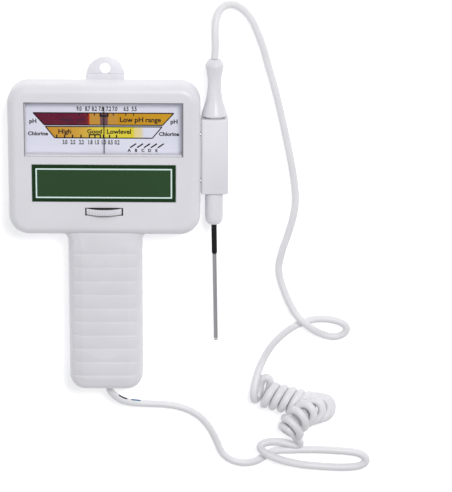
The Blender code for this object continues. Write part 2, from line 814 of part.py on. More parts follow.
def probe_insides(parent):
    """The electrode and its sleeve, which lean a little from the barrel's end, and the wire above."""
    origin = (PROBE_X, BARREL_END_Y, PROBE_Z)
    lean = math.radians(ELECTRODE_LEAN)
    axis = (-math.sin(lean), math.cos(lean), 0.0)

    def leaning(profile, segments):
        shifted = [(radius, y - BARREL_END_Y) for radius, y in profile]
        return ring_body(shifted, origin, axis, segments)

    sleeve = leaning([(1.5, SLEEVE_END_Y), (1.5, -27), (0.95, -27), (0.95, SLEEVE_END_Y)], 16)
    finish(new_object("insulating_sleeve", sleeve, origin, parent), BLACK, 0.45)

    inner = turned([(0.6, TIP_Y + 3.2 - BARREL_END_Y), (0.6, -28 - BARREL_END_Y)], origin, axis, 12)
    finish(new_object("inner_electrode", inner, origin, parent), STEEL, 0.25, 1.0)

    top = SLEEVE_END_Y - GAP
    made = new_object(
        "electrode_tube", leaning([(1.0, TIP_Y), (1.5, TIP_Y), (1.5, top), (1.0, top)], 20), origin, parent
    )
    tip_x = PROBE_X - (TIP_Y - BARREL_END_Y) * math.tan(-lean)
    wedge = loft(
        [
            [(x, TIP_Y - 1, PROBE_Z - 4), (x, TIP_Y + 5.0, PROBE_Z + 4), (x, TIP_Y - 1, PROBE_Z + 4)]
            for x in (tip_x - 4, tip_x + 4)
        ]
    )
    finish(cut(made, cutter("tip_slant", wedge)), STEEL, 0.2, 1.0)

    wire = along_probe([(0.5, -25.0), (0.5, 20.0)], 8)
    finish(new_object("signal_wire", wire, (PROBE_X, 0, PROBE_Z), parent), BRASS, 0.4, 1.0)
    contact = along_probe([(1.5, 20.0 + GAP), (1.5, 26.0)], 12)
    finish(new_object("probe_contact", contact, (PROBE_X, 0, PROBE_Z), parent), BRASS, 0.3, 1.0)


# ---------------------------------------------------------------- cord and its fittings

# The wound part: its first leg bows a little along the ground, then it turns up and back over
# itself, stepping forward ever faster, and its second leg runs on straight from there.
COIL_START = (84.8, -137.6, 8.2)
COIL_BOW = 1.3
FOLD_START = (113.1, -145.4, 8.2)
FOLD_RADIUS = 8.6
FOLD_ANGLE = math.radians(265.0)
FOLD_ADVANCE = 13.2
SECOND_LEG = 9.1
PROBE_LEAD = (
    (PROBE_X, CAP_END_Y + GAP, PROBE_Z),
    (60.2, 59.8, 15.0),
    (60.0, 66.3, 14.8),
    (60.1, 72.7, 13.8),
    (60.9, 76.8, 12.2),
    (62.2, 79.5, 10.4),
    (64.1, 81.6, 8.6),
    (68.1, 82.5, 6.2),
    (72.2, 81.1, 4.4),
    (75.9, 78.2, 3.3),
    (78.8, 74.9, 2.7),
    (81.7, 69.5, 2.4),
    (84.1, 63.6, 2.4),
    (86.5, 56.9, 2.4),
    (89.1, 47.6, 2.4),
    (91.9, 38.4, 2.4),
    (94.4, 28.8, 2.4),
    (97.0, 18.0, 2.4),
    (102.1, -5.6, 2.4),
    (104.9, -24.4, 2.4),
    (104.2, -36.5, 2.4),
    (100.9, -48.7, 2.4),
    (98.0, -57.6, 2.4),
    (96.0, -68.5, 2.5),
    (98.9, -80.0, 3.4),
    (105.0, -92.6, 5.8),
    (110.0, -97.9, 7.2),
    (115.2, -102.6, 5.8),
    (121.0, -106.4, 3.2),
    (127.0, -108.2, 2.4),
    (132.6, -107.0, 2.4),
    (135.7, -103.1, 2.4),
    (131.0, -99.1, 2.4),
    (121.2, -97.4, 2.4),
    (112.2, -98.8, 2.4),
    (103.3, -103.2, 2.4),
    (95.4, -110.2, 2.4),
    (90.4, -117.0, 2.4),
    (86.8, -124.4, 3.2),
    (84.6, -129.6, 5.2),
    (83.3, -133.8, 7.6),
)
HANDLE_LEAD = (
    (103.4, -166.2, 7.9),
    (108.0, -168.4, 6.9),
    (110.0, -170.4, 5.4),
    (109.7, -172.7, 3.9),
    (106.6, -173.1, 3.2),
    (101.0, -171.5, 3.4),
    (94.4, -170.3, 4.8),
    (88.2, -170.4, 6.6),
    (85.6, -172.4, 7.5),
    (87.9, -175.4, 7.6),
    (92.0, -177.9, 7.4),
    (96.5, -180.0, 6.9),
    (104.0, -183.0, 4.7),
    (113.4, -185.3, 2.6),
    (130.8, -186.6, 2.4),
    (142.5, -186.0, 2.4),
    (148.2, -183.0, 2.4),
    (143.6, -178.0, 2.4),
    (128.3, -176.3, 2.4),
    (112.5, -175.9, 2.4),
    (103.8, -176.3, 2.4),
    (97.1, -176.3, 2.4),
    (92.0, -177.6, 2.4),
    (88.6, -180.4, 2.4),
    (85.2, -182.8, 2.4),
    (78.6, -184.3, 2.4),
    (70.9, -182.9, 2.4),
    (64.7, -178.0, 2.4),
    (61.3, -169.6, 2.4),
    (57.2, -162.0, 2.4),
    (51.8, -155.8, 2.4),
    (43.4, -151.2, 2.4),
    (33.4, -149.1, 2.4),
    (21.5, -148.3, 3.2),
    (13.5, -147.0, 5.4),
    (7.8, -144.4, 8.6),
    (3.4, -139.8, 12.2),
    (1.3, -137.0, 13.6),
    (EXIT_X, HANDLE_END_Y - 2.2, PARTING_Z),
    (EXIT_X, HANDLE_END_Y - 0.6, PARTING_Z),
)
INNER_LEAD = (
    (EXIT_X, -127.2, PARTING_Z),
    (EXIT_X, -124.8, PARTING_Z),
    (-1.0, -121.4, 13.6),
    (-7.0, -114.0, 12.0),
    (-9.5, -104.0, 8.6),
    (-9.5, -60.0, 8.0),
    (-12.0, -45.0, 8.0),
    (-19.0, -36.0, 8.0),
    (-24.5, -28.0, 8.0),
)


def free_cord(probe_pivot):
    cord("probe_lead", PROBE_LEAD, CORD_DIAMETER, 6.5, 2, probe_pivot)
    cord("curly_cord", coil_route(), COIL_DIAMETER, 4.0, 4)
    cord("handle_lead", HANDLE_LEAD, CORD_DIAMETER, 6.0, 2)


def handle_fittings():
    """The bush that the cord leaves by, the clamp that holds it and the lead inside the case."""
    profile = [
        (BUSH_RADIUS - 0.5, HANDLE_END_Y - 0.2),
        (BUSH_RADIUS, HANDLE_END_Y + 0.3),
        (BUSH_RADIUS, HANDLE_END_Y + WALL + 2 * GAP),
        (BUSH_RADIUS + 1.4, HANDLE_END_Y + WALL + 2 * GAP),
        (BUSH_RADIUS + 1.4, HANDLE_END_Y + WALL + 2.4),
        (BUSH_RADIUS - 0.8, HANDLE_END_Y + WALL + 3.4),
    ]
    bush = turned(profile, (EXIT_X, 0, PARTING_Z), (0, 1, 0), 20)
    finish(new_object("cord_bush", bush), WHITE, 0.5)
    cord("inner_lead", INNER_LEAD, 3.4, 8.0, 2)
    clamp = new_object("cord_clamp", block((-14.0, -5.0), (-90.0, -84.0), (WALL + GAP, 13.0)))
    channel = cutter("clamp_channel", block((-11.8, -7.2), (-91.0, -83.0), (WALL - 1, 10.6)))
    finish(cut(clamp, channel), CREAM, 0.5, smooth=False)


def build():
    for old in list(bpy.data.objects):
        bpy.data.objects.remove(old, do_unlink=True)
    front_cover()
    rear_cover()
    case_screws()
    label_plate()
    meter_window()
    dial_plate()
    dial_supports()
    movement_base()
    magnet()
    pole_pieces()
    iron_core()
    upper_bridge()
    staff_pivot = pivot("movement_pivot", (0.0, PIVOT_Y, 0.0))
    for piece in (moving_coil, staff, pointer, counterweight, hairspring):
        piece(staff_pivot)
    wheel_pivot = pivot("wheel_pivot", (0.0, WHEEL_Y, WHEEL_Z))
    thumbwheel(wheel_pivot)
    wheel_axle(wheel_pivot)
    selector_switch()
    axle_bracket()
    circuit_board()
    probe_holder()
    probe_pivot = pivot("probe_pivot", (PROBE_X, 0.0, PROBE_Z))
    for piece in (probe_cap, probe_barrel, probe_insides):
        piece(probe_pivot)
    free_cord(probe_pivot)
    handle_fittings()


build()
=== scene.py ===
"""Looks for the pool and spa water tester: a white case with a printed dial, a ribbed thumbwheel, a
side probe and a curly cord.

Dimensions are in millimetres in the CAD's frame and are scaled to metres as each mesh is made.
"""

import json
import math

import bmesh
import bpy
from mathutils import Matrix, Vector


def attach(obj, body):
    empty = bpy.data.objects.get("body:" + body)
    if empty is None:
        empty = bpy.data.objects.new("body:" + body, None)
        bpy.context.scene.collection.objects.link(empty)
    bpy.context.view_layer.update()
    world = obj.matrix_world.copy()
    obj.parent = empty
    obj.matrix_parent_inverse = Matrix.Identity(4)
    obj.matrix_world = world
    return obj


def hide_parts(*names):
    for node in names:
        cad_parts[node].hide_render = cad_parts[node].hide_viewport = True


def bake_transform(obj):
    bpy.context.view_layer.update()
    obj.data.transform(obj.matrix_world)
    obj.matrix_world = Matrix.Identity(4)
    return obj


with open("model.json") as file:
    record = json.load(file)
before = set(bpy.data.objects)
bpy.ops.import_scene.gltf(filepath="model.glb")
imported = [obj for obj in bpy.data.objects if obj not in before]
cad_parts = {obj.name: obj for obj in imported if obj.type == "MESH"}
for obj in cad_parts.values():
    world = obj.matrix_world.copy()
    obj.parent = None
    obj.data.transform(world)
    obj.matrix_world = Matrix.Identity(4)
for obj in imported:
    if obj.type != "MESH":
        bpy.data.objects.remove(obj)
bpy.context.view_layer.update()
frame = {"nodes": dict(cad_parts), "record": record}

MM = 0.001
GAP = 0.3

# ---------------------------------------------------------------- dimensions shared with the CAD
WALL = 2.2
HEAD_HALF_X, HEAD_HALF_Y = 52.2, 41.9
HEAD_CORNER, HEAD_DEPTH, HEAD_ROUNDING = 11.0, 30.0, 5.0
HANDLE_HALF_X, HANDLE_END_Y = 20.4, -133.1
HANDLE_CORNER, HANDLE_DEPTH, HANDLE_FLARE = 9.0, 28.0, 5.5
HANDLE_ROOT_Y = -36.0
PARTING_Z = 14.0
GROOVES, GROOVE_FIRST_Y, GROOVE_PITCH = 10, -53.5, 7.81
TAB_TOP_Y, TAB_RADIUS, TAB_THICKNESS, TAB_ROOT_Y = 51.9, 10.5, 3.5, 37.3
TAB_HOLE_RADIUS, TAB_HOLE_Y = 3.1, 45.9
WINDOW_HALF_X, WINDOW_Y, WINDOW_LEDGE = 43.0, (2.4, 32.3), 0.6
PANE_TOP, DIAL_TOP = 29.2, 22.3
LABEL_HALF_X, LABEL_Y, LABEL_RECESS, LABEL_TOP = 39.0, (-22.6, -2.05), 0.6, 30.1
WHEEL_RADIUS, WHEEL_WIDTH, WHEEL_Y, WHEEL_Z = 15.0, 3.5, -28.35, 18.3
SLOT_WIDTH, AXLE_RADIUS = 4.3, 1.5
POINTER_SLIT_HALF_X, POINTER_TOP = 13.5, 23.4
PROBE_X, PROBE_Z = 59.8, 15.0
HOLDER_X, HOLDER_Y, HOLDER_Z = (52.5, 67.6), (-20.5, 21.5), (6.5, 22.0)
BARREL_RADIUS, BARREL_END_Y = 4.95, -38.7
CAP_END_Y, CAP_START_Y = 53.8, 22.4
SLEEVE_END_Y, TIP_Y, ELECTRODE_LEAN = -55.5, -107.9, 1.1
SPIGOT_RADIUS, SPIGOT_TOP_Y, BARREL_BORE = 3.0, 28.0, 2.0
CORD_DIAMETER = 4.1
EXIT_X, BUSH_RADIUS = 0.9, 3.4
SCREW_PLACES = ((-41.5, 35.6), (41.5, 35.6), (-44.5, -33.5), (44.5, -33.5), (0.0, -58.0), (0.0, -112.0))
SCREW_HEAD_RADIUS, SCREW_SHAFT_RADIUS, SCREW_TIP_Z, BOSS_RADIUS = 2.5, 1.4, 21.0, 3.2

# ---------------------------------------------------------------- looks only
FLOOR_HALF, FLOOR_Z = 3.0, -0.0002  # metres
EDGE_ROUNDING = 0.28  # round the window and the wheel's slot
# Across the grip: the sections of a groove, as (x, height of the surface), and its cut there.
GROOVE_SECTIONS = ((17.7, 26.8), (13.2, 27.8), (12.6, 28.0))
GROOVE_DEPTH, GROOVE_CLEAR = 0.42, 0.6
GROOVE_FLOOR, GROOVE_SLOPE, GROOVE_STEP = 0.3, 3.6, 0.7
RIBS, POINTS_PER_RIB, RIB_DEPTH = 98, 6, 0.42
HOLDER_ROUNDING = 1.7
CAP_SEAM, CAP_SEAM_HALF_WIDTH = 0.12, 0.35


# ---------------------------------------------------------------- camera, light and floor


def camera():
    """Looks down on the tester, a little from the hanger tab's side."""
    tilt, roll, distance = math.radians(16.0), math.radians(0.3), 1.3675
    target = Vector((0.0665, -0.0473, 0.030))
    back = Vector((0.0, math.sin(tilt), math.cos(tilt)))
    level = Vector((0.0, math.cos(tilt), -math.sin(tilt)))
    right = math.cos(roll) * Vector((1, 0, 0)) + math.sin(roll) * level
    up = -math.sin(roll) * Vector((1, 0, 0)) + math.cos(roll) * level
    data = bpy.data.cameras.new("camera")
    data.lens = 182.93
    data.clip_start, data.clip_end = 0.05, 20.0
    made = bpy.data.objects.new("camera", data)
    turn = Matrix((right, up, back)).transposed().to_4x4()
    made.matrix_world = Matrix.Translation(target + distance * back) @ turn
    bpy.context.scene.collection.objects.link(made)
    bpy.context.scene.camera = made


def area_light(name, place, aim, size, power, colour=(1, 1, 1)):
    data = bpy.data.lights.new(name, "AREA")
    data.shape = "RECTANGLE"
    data.size, data.size_y = size
    data.energy = power
    data.color = colour
    made = bpy.data.objects.new(name, data)
    direction = Vector(aim) - Vector(place)
    made.location = place
    made.rotation_euler = direction.to_track_quat("-Z", "Y").to_euler()
    bpy.context.scene.collection.objects.link(made)


def studio():
    scene = bpy.context.scene
    scene.view_settings.view_transform = "Standard"
    world = bpy.data.worlds.new("studio")
    scene.world = world
    world.use_nodes = True
    background = world.node_tree.nodes["Background"]
    background.inputs["Color"].default_value = (0.97, 0.98, 1.0, 1.0)
    background.inputs["Strength"].default_value = 0.36
    aim = (0.05, -0.05, 0.0)
    area_light("key", (0.45, 0.72, 1.60), aim, (0.6, 0.5), 18.5)
    area_light("fill", (-0.5, 0.0, 1.7), aim, (1.0, 1.0), 2.6, (0.97, 0.98, 1.0))

    shape = bmesh.new()
    half = FLOOR_HALF
    corners = [(-half, -half), (half, -half), (half, half), (-half, half)]
    shape.faces.new([shape.verts.new((x, y, FLOOR_Z)) for x, y in corners])
    mesh = bpy.data.meshes.new("floor")
    shape.to_mesh(mesh)
    shape.free()
    floor = bpy.data.objects.new("floor", mesh)
    scene.collection.objects.link(floor)
    mesh.materials.append(floor_material())


# ---------------------------------------------------------------- materials


class Nodes:
    """Short calls for the nodes of one material."""

    def __init__(self, name):
        self.material = bpy.data.materials.new(name)
        self.material.use_nodes = True
        self.tree = self.material.node_tree
        self.shader = self.tree.nodes["Principled BSDF"]
        self.place = self.node("TexCoord").outputs["Object"]

    def link(self, start, end):
        self.tree.links.new(start, end)

    def node(self, kind, **inputs):
        made = self.tree.nodes.new("ShaderNode" + kind)
        for key, value in inputs.items():
            made.inputs[key.replace("_", " ")].default_value = value
        return made

    def set(self, **values):
        for key, value in values.items():
            self.shader.inputs[key.replace("_", " ")].default_value = value

    def noise(self, scale, detail=3.0, roughness=0.5, vector=None):
        node = self.node("TexNoise", Scale=scale, Detail=detail, Roughness=roughness)
        self.link(vector or self.place, node.inputs["Vector"])
        return node.outputs["Fac"]

    def stretched(self, factors):
        node = self.node("Mapping", Scale=factors)
        self.link(self.place, node.inputs["Vector"])
        return node.outputs["Vector"]

    def ramp(self, value, stops, interpolation="LINEAR"):
        node = self.node("ValToRGB")
        node.color_ramp.interpolation = interpolation
        elements = node.color_ramp.elements
        while len(elements) < len(stops):
            elements.new(0.5)
        for element, (position, colour) in zip(elements, stops):
            element.position = position
            element.color = (*colour, 1.0)
        self.link(value, node.inputs["Fac"])
        return node.outputs["Color"]

    def spread(self, value, low, high, start=0.3, end=0.7):
        node = self.node("MapRange", From_Min=start, From_Max=end, To_Min=low, To_Max=high)
        self.link(value, node.inputs["Value"])
        return node.outputs["Result"]

    def mix(self, factor, first, second, blend="MIX"):
        node = self.node("Mix")
        node.data_type = "RGBA"
        node.blend_type = blend
        for key, value in ((0, factor), (6, first), (7, second)):
            if isinstance(value, (int, float)):
                node.inputs[key].default_value = value
            elif isinstance(value, tuple):
                node.inputs[key].default_value = (*value, 1.0)
            else:
                self.link(value, node.inputs[key])
        return node.outputs[2]

    def math(self, operation, first, second=0.0):
        node = self.node("Math")
        node.operation = operation
        for key, value in ((0, first), (1, second)):
            if isinstance(value, (int, float)):
                node.inputs[key].default_value = value
            else:
                self.link(value, node.inputs[key])
        return node.outputs[0]

    def bump(self, height, distance, strength=1.0):
        node = self.node("Bump", Distance=distance, Strength=strength)
        self.link(height, node.inputs["Height"])
        self.link(node.outputs["Normal"], self.shader.inputs["Normal"])

    def colour(self, value):
        self.link(value, self.shader.inputs["Base Color"])

    def roughness(self, value):
        self.link(value, self.shader.inputs["Roughness"])


def tint(colour, factor):
    return tuple(min(1.0, channel * factor) for channel in colour)


def moulded(name, colour, roughness=0.4, grain=1500.0, depth=0.00002, spread=0.03, **values):
    """Moulded plastic: faint cloudy colour, fine spark-eroded grain and uneven gloss."""
    n = Nodes(name)
    cloud = n.noise(28.0, 4.0)
    speck = n.noise(grain, 2.0)
    base = n.ramp(cloud, [(0.3, tint(colour, 1 - spread)), (0.7, tint(colour, 1 + spread))])
    n.colour(n.mix(n.spread(speck, 0.0, 0.06), base, tint(colour, 0.82)))
    n.roughness(n.spread(cloud, roughness - 0.05, roughness + 0.06))
    n.bump(speck, depth, 0.35)
    n.set(**values)
    return n.material


def metal(name, colour, roughness=0.25, along=(1, 40, 40), spread=0.06):
    """Drawn metal: fine lines along one direction, and faint dull patches."""
    n = Nodes(name)
    lines = n.noise(60.0, 5.0, 0.6, n.stretched(along))
    patches = n.noise(55.0, 3.0)
    n.colour(n.ramp(lines, [(0.3, tint(colour, 1 - spread)), (0.7, tint(colour, 1 + spread))]))
    gloss = n.spread(lines, roughness - 0.05, roughness + 0.05)
    n.roughness(n.math("ADD", gloss, n.spread(patches, 0.0, 0.06)))
    n.bump(lines, 0.000008, 0.3)
    n.set(Metallic=1.0)
    return n.material


def cord_material():
    """Soft PVC jacket: a faint waviness, tiny pits and an even satin gloss."""
    n = Nodes("pvc_jacket")
    colour = (0.79, 0.785, 0.805)
    cloud = n.noise(45.0, 4.0)
    pits = n.noise(1100.0, 2.0)
    base = n.ramp(cloud, [(0.3, tint(colour, 0.965)), (0.7, tint(colour, 1.03))])
    n.colour(n.mix(n.spread(pits, 0.0, 0.07), base, tint(colour, 0.8)))
    n.roughness(n.spread(cloud, 0.34, 0.46))
    n.bump(n.math("ADD", n.math("MULTIPLY", pits, 0.4), n.noise(160.0, 2.0)), 0.00004, 0.3)
    n.set(Subsurface_Weight=0.0, Specular_IOR_Level=0.45)
    return n.material


def card_material():
    """The dial's card: pale lilac-white with paper fibre and a slight satin coat."""
    n = Nodes("dial_card")
    colour = (0.75, 0.755, 0.86)
    fibre = n.noise(900.0, 4.0, 0.6, n.stretched((1, 0.35, 1)))
    cloud = n.noise(35.0, 3.0)
    base = n.ramp(cloud, [(0.3, tint(colour, 0.97)), (0.7, tint(colour, 1.02))])
    n.colour(n.mix(n.spread(fibre, 0.0, 0.05), base, tint(colour, 0.85)))
    n.roughness(n.spread(fibre, 0.42, 0.52))
    n.bump(fibre, 0.00001, 0.3)
    return n.material


def printed_band(name, low_x, high_x, stops):
    """Printed colours that change along X: stops are (x in mm, colour)."""
    n = Nodes(name)
    split = n.node("SeparateXYZ")
    n.link(n.place, split.inputs[0])
    across = n.spread(split.outputs["X"], 0.0, 1.0, low_x * MM, high_x * MM)
    places = [((x - low_x) / (high_x - low_x), colour) for x, colour in stops]
    speck = n.noise(1400.0, 3.0)
    cloud = n.noise(160.0, 3.0)
    inked = n.mix(n.spread(cloud, 0.0, 0.05), n.ramp(across, places), (0.30, 0.16, 0.05))
    n.colour(n.mix(n.spread(speck, 0.0, 0.05), inked, (0.05, 0.03, 0.02)))
    n.roughness(n.spread(speck, 0.40, 0.50))
    n.bump(speck, 0.000008, 0.3)
    n.set(Specular_IOR_Level=0.12)
    return n.material


def ink(name, colour, roughness=0.4):
    """Screen-printed ink, a little thin in places."""
    n = Nodes(name)
    speck = n.noise(1600.0, 3.0)
    n.colour(n.ramp(speck, [(0.35, colour), (0.75, tuple(c * 1.15 + 0.012 for c in colour))]))
    n.roughness(n.spread(speck, roughness - 0.05, roughness + 0.06))
    n.bump(speck, 0.000006, 0.3)
    n.set(Specular_IOR_Level=0.15)
    return n.material


def acrylic():
    """The clear pane: a faint haze and a few polishing marks, mostly see-through."""
    n = Nodes("clear_acrylic")
    haze = n.noise(240.0, 4.0, 0.6, n.stretched((1, 0.2, 1)))
    n.colour(n.ramp(haze, [(0.3, (0.80, 0.84, 0.90)), (0.8, (0.92, 0.94, 0.97))]))
    n.roughness(n.spread(haze, 0.015, 0.05))
    n.set(Alpha=0.001, Specular_IOR_Level=0.5)
    return n.material


def winding():
    """Enamelled copper wire laid side by side."""
    n = Nodes("copper_winding")
    wave = n.node("TexWave", Scale=900.0)
    wave.bands_direction = "Z"
    n.link(n.place, wave.inputs["Vector"])
    n.colour(n.ramp(wave.outputs["Fac"], [(0.2, (0.25, 0.09, 0.03)), (0.8, (0.72, 0.30, 0.10))]))
    n.roughness(n.spread(wave.outputs["Fac"], 0.45, 0.28))
    n.bump(wave.outputs["Fac"], 0.00004, 0.6)
    n.set(Metallic=0.6)
    return n.material


def board_material():
    """Green laminate with paler tracks just under the varnish."""
    n = Nodes("circuit_laminate")
    tracks = n.node("TexBrick", Scale=260.0, Mortar_Size=0.06, Mortar=(0.10, 0.30, 0.12, 1))
    tracks.inputs["Color1"].default_value = (0.012, 0.13, 0.05, 1)
    tracks.inputs["Color2"].default_value = (0.02, 0.17, 0.07, 1)
    n.link(n.place, tracks.inputs["Vector"])
    n.colour(n.mix(n.spread(n.noise(500.0), 0.0, 0.2), tracks.outputs["Color"], (0.01, 0.06, 0.03)))
    n.roughness(n.spread(n.noise(120.0), 0.25, 0.4))
    n.bump(tracks.outputs["Fac"], 0.00003, 0.4)
    return n.material


def floor_material():
    """A pale, matt studio sweep."""
    n = Nodes("studio_floor")
    n.colour(n.ramp(n.noise(2.0, 2.0), [(0.3, (0.93, 0.93, 0.93)), (0.7, (0.95, 0.95, 0.95))]))
    n.set(Roughness=0.95, Specular_IOR_Level=0.1)
    n.set(Emission_Color=(1, 1, 1, 1), Emission_Strength=0.40)
    return n.material


BODY = (0.755, 0.747, 0.788)
LABEL_GREEN, BORDER_GREEN = (0.024, 0.066, 0.024), (0.006, 0.034, 0.006)
SLEEVE_BLACK = (0.005, 0.005, 0.006)
MATERIALS = {
    "white_plastic": moulded("white_case", BODY, 0.38),
    "cord_jacket": cord_material(),
    "green_label": moulded(
        "label_green", LABEL_GREEN, 0.6, 1300.0, 0.00001, 0.08, Specular_IOR_Level=0.15
    ),
    "window": acrylic(),
    "dial": card_material(),
    "inner_plastic": moulded("inner_moulding", (0.60, 0.59, 0.57), 0.5),
    "steel": metal("drawn_steel", (0.56, 0.56, 0.58), 0.3),
    "electrode_metal": metal("polished_electrode", (0.80, 0.80, 0.82), 0.10, (40, 1, 40), 0.05),
    "brass": metal("turned_brass", (0.70, 0.52, 0.22), 0.3),
    "copper_winding": winding(),
    "magnet": moulded("sintered_magnet", (0.10, 0.10, 0.11), 0.6, 700.0, 0.00006, 0.12, Metallic=0.4),
    "black_plastic": ink("black_lacquer", (0.012, 0.012, 0.014), 0.4),
    "black_sleeve": moulded(
        "black_sleeve", SLEEVE_BLACK, 0.5, 1200.0, 0.00002, 0.1, Specular_IOR_Level=0.25
    ),
    "board": board_material(),
    "trimmer": moulded("blue_trimmer", (0.04, 0.11, 0.42), 0.35),
    "resistor": moulded("tan_lacquer", (0.52, 0.37, 0.22), 0.3),
}


def dress_cad_nodes():
    """Every carried-over CAD node takes the material of its slot."""
    for entry in frame["record"]["subparts"]:
        node = frame["nodes"].get(entry["node"])
        if node is not None:
            node.data.materials.clear()
            node.data.materials.append(MATERIALS[entry["material_slot"]])


# ---------------------------------------------------------------- mesh helpers


def add_object(name, shape, material, sharp=30.0):
    """An object from a bmesh in millimetres."""
    bmesh.ops.recalc_face_normals(shape, faces=shape.faces)
    bmesh.ops.scale(shape, vec=(MM, MM, MM), verts=shape.verts)
    mesh = bpy.data.meshes.new(name)
    shape.to_mesh(mesh)
    shape.free()
    made = bpy.data.objects.new(name, mesh)
    bpy.context.scene.collection.objects.link(made)
    if material:
        mesh.materials.append(material)
    return shade(made, sharp)


def shade(made, sharp=30.0):
    made.data.shade_smooth()
    made.data.set_sharp_from_angle(angle=math.radians(sharp))
    return made


def part(made, body, slot, *nodes):
    """A finished piece: it rides on its body and stands for these CAD nodes; the slot is not used."""
    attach(made, body)
    if nodes:
        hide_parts(*nodes)
    return made


def piece(name, shape, body, slot, *nodes, sharp=30.0):
    """A finished piece straight from its shape, in the material of its slot."""
    return part(add_object(name, shape, MATERIALS[slot], sharp), body, slot, *nodes)


def cutter(shape):
    return add_object("cutter", shape, None)


def combine(made, cutters, operation="DIFFERENCE"):
    """Applies exact booleans and removes the cutters."""
    for other in cutters:
        step = made.modifiers.new("step", "BOOLEAN")
        step.operation = operation
        step.object = other
    graph = bpy.context.evaluated_depsgraph_get()
    graph.update()
    result = bpy.data.meshes.new_from_object(made.evaluated_get(graph))
    old = made.data
    made.modifiers.clear()
    made.data = result
    result.name = made.name
    bpy.data.meshes.remove(old)
    for other in cutters:
        mesh = other.data
        bpy.data.objects.remove(other)
        bpy.data.meshes.remove(mesh)
    return made


def loft(rings, closed=False):
    """A body through rings of equal length: flat ends, or closed round on itself."""
    shape = bmesh.new()
    rows = [[shape.verts.new(point) for point in ring] for ring in rings]
    count = len(rows[0])
    pairs = list(zip(rows, rows[1:]))
    if closed:
        pairs.append((rows[-1], rows[0]))
    for low, high in pairs:
        for i in range(count):
            j = (i + 1) % count
            shape.faces.new((low[i], low[j], high[j], high[i]))
    if not closed:
        shape.faces.new(reversed(rows[0]))
        shape.faces.new(rows[-1])
    return shape


def block(x, y, z):
    return loft([[(x[0], y[0], h), (x[1], y[0], h), (x[1], y[1], h), (x[0], y[1], h)] for h in z])


def flared_block(x, y, levels):
    """A box whose sides step outwards: levels are (z, how far out)."""
    rings = []
    for z, out in levels:
        x0, x1, y0, y1 = x[0] - out, x[1] + out, y[0] - out, y[1] + out
        rings.append([(x0, y0, z), (x1, y0, z), (x1, y1, z), (x0, y1, z)])
    return loft(rings)


def merged(shapes):
    together = bmesh.new()
    for shape in shapes:
        mesh = bpy.data.meshes.new("part")
        shape.to_mesh(mesh)
        shape.free()
        together.from_mesh(mesh)
        bpy.data.meshes.remove(mesh)
    return together


def frames_round(axis):
    along = Vector(axis).normalized()
    side = along.orthogonal().normalized()
    return along, side, along.cross(side)


def turned(profile, centre, axis, segments=48, closed=False):
    """Turned from (radius, distance) points; a closed profile has a bore."""
    along, side, other = frames_round(axis)
    rings = []
    for radius, distance in profile:
        middle = Vector(centre) + along * distance
        ring = []
        for i in range(segments):
            angle = 2 * math.pi * i / segments
            ring.append(middle + radius * (math.cos(angle) * side + math.sin(angle) * other))
        rings.append(ring)
    return loft(rings, closed)


def rod(radius, start, end, axis, centre, segments=32):
    place = list(centre)
    place.insert("XYZ".index(axis), 0.0)
    direction = [float(axis == letter) for letter in "XYZ"]
    return turned([(radius, start), (radius, end)], place, direction, segments)


def arc(centre, radius, start, end, steps):
    points = []
    for i in range(steps + 1):
        angle = math.radians(start + (end - start) * i / steps)
        points.append((centre[0] + radius * math.cos(angle), centre[1] + radius * math.sin(angle)))
    return points


def catmull(knots, steps):
    """A smooth curve through the knots, with this many points for each step between them."""
    padded = [2 * knots[0] - knots[1], *knots, 2 * knots[-1] - knots[-2]]
    fine = []
    for before, start, end, after in zip(padded, padded[1:], padded[2:], padded[3:]):
        for i in range(steps):
            t = i / steps
            fine.append(
                0.5
                * (
                    2 * start
                    + (end - before) * t
                    + (2 * before - 5 * start + 4 * end - after) * t * t
                    + (3 * start - before - 3 * end + after) * t**3
                )
            )
    fine.append(padded[-2])
    return fine


# ---------------------------------------------------------------- case


def head_outline(inset, z):
    half_x, half_y = HEAD_HALF_X - inset, HEAD_HALF_Y - inset
    radius = HEAD_CORNER - inset
    points = []
    for sx, sy, start in ((1, 1, 0), (-1, 1, 90), (-1, -1, 180), (1, -1, 270)):
        centre = (sx * (half_x - radius), sy * (half_y - radius))
        points += arc(centre, radius, start, start + 90, 16)
    return [(x, y, z) for x, y in points]


def handle_outline(inset, z):
    half = HANDLE_HALF_X - inset
    flare_x = HANDLE_HALF_X + HANDLE_FLARE
    flare_y = -HEAD_HALF_Y - HANDLE_FLARE
    radius = HANDLE_CORNER - inset
    end = HANDLE_END_Y + inset
    points = [(flare_x, HANDLE_ROOT_Y), (-flare_x, HANDLE_ROOT_Y)]
    points += arc((-flare_x, flare_y), HANDLE_FLARE + inset, 90, 0, 10)
    points += arc((-half + radius, end + radius), radius, 180, 270, 12)
    points += arc((half - radius, end + radius), radius, 270, 360, 12)
    points += arc((flare_x, flare_y), HANDLE_FLARE + inset, 180, 90, 10)
    return [(x, y, z) for x, y in points]


def rounded_edge(top, radius, steps):
    pairs = []
    for i in range(steps + 1):
        angle = math.radians(90 * i / steps)
        pairs.append((top - radius + radius * math.sin(angle), radius * (1 - math.cos(angle))))
    return pairs


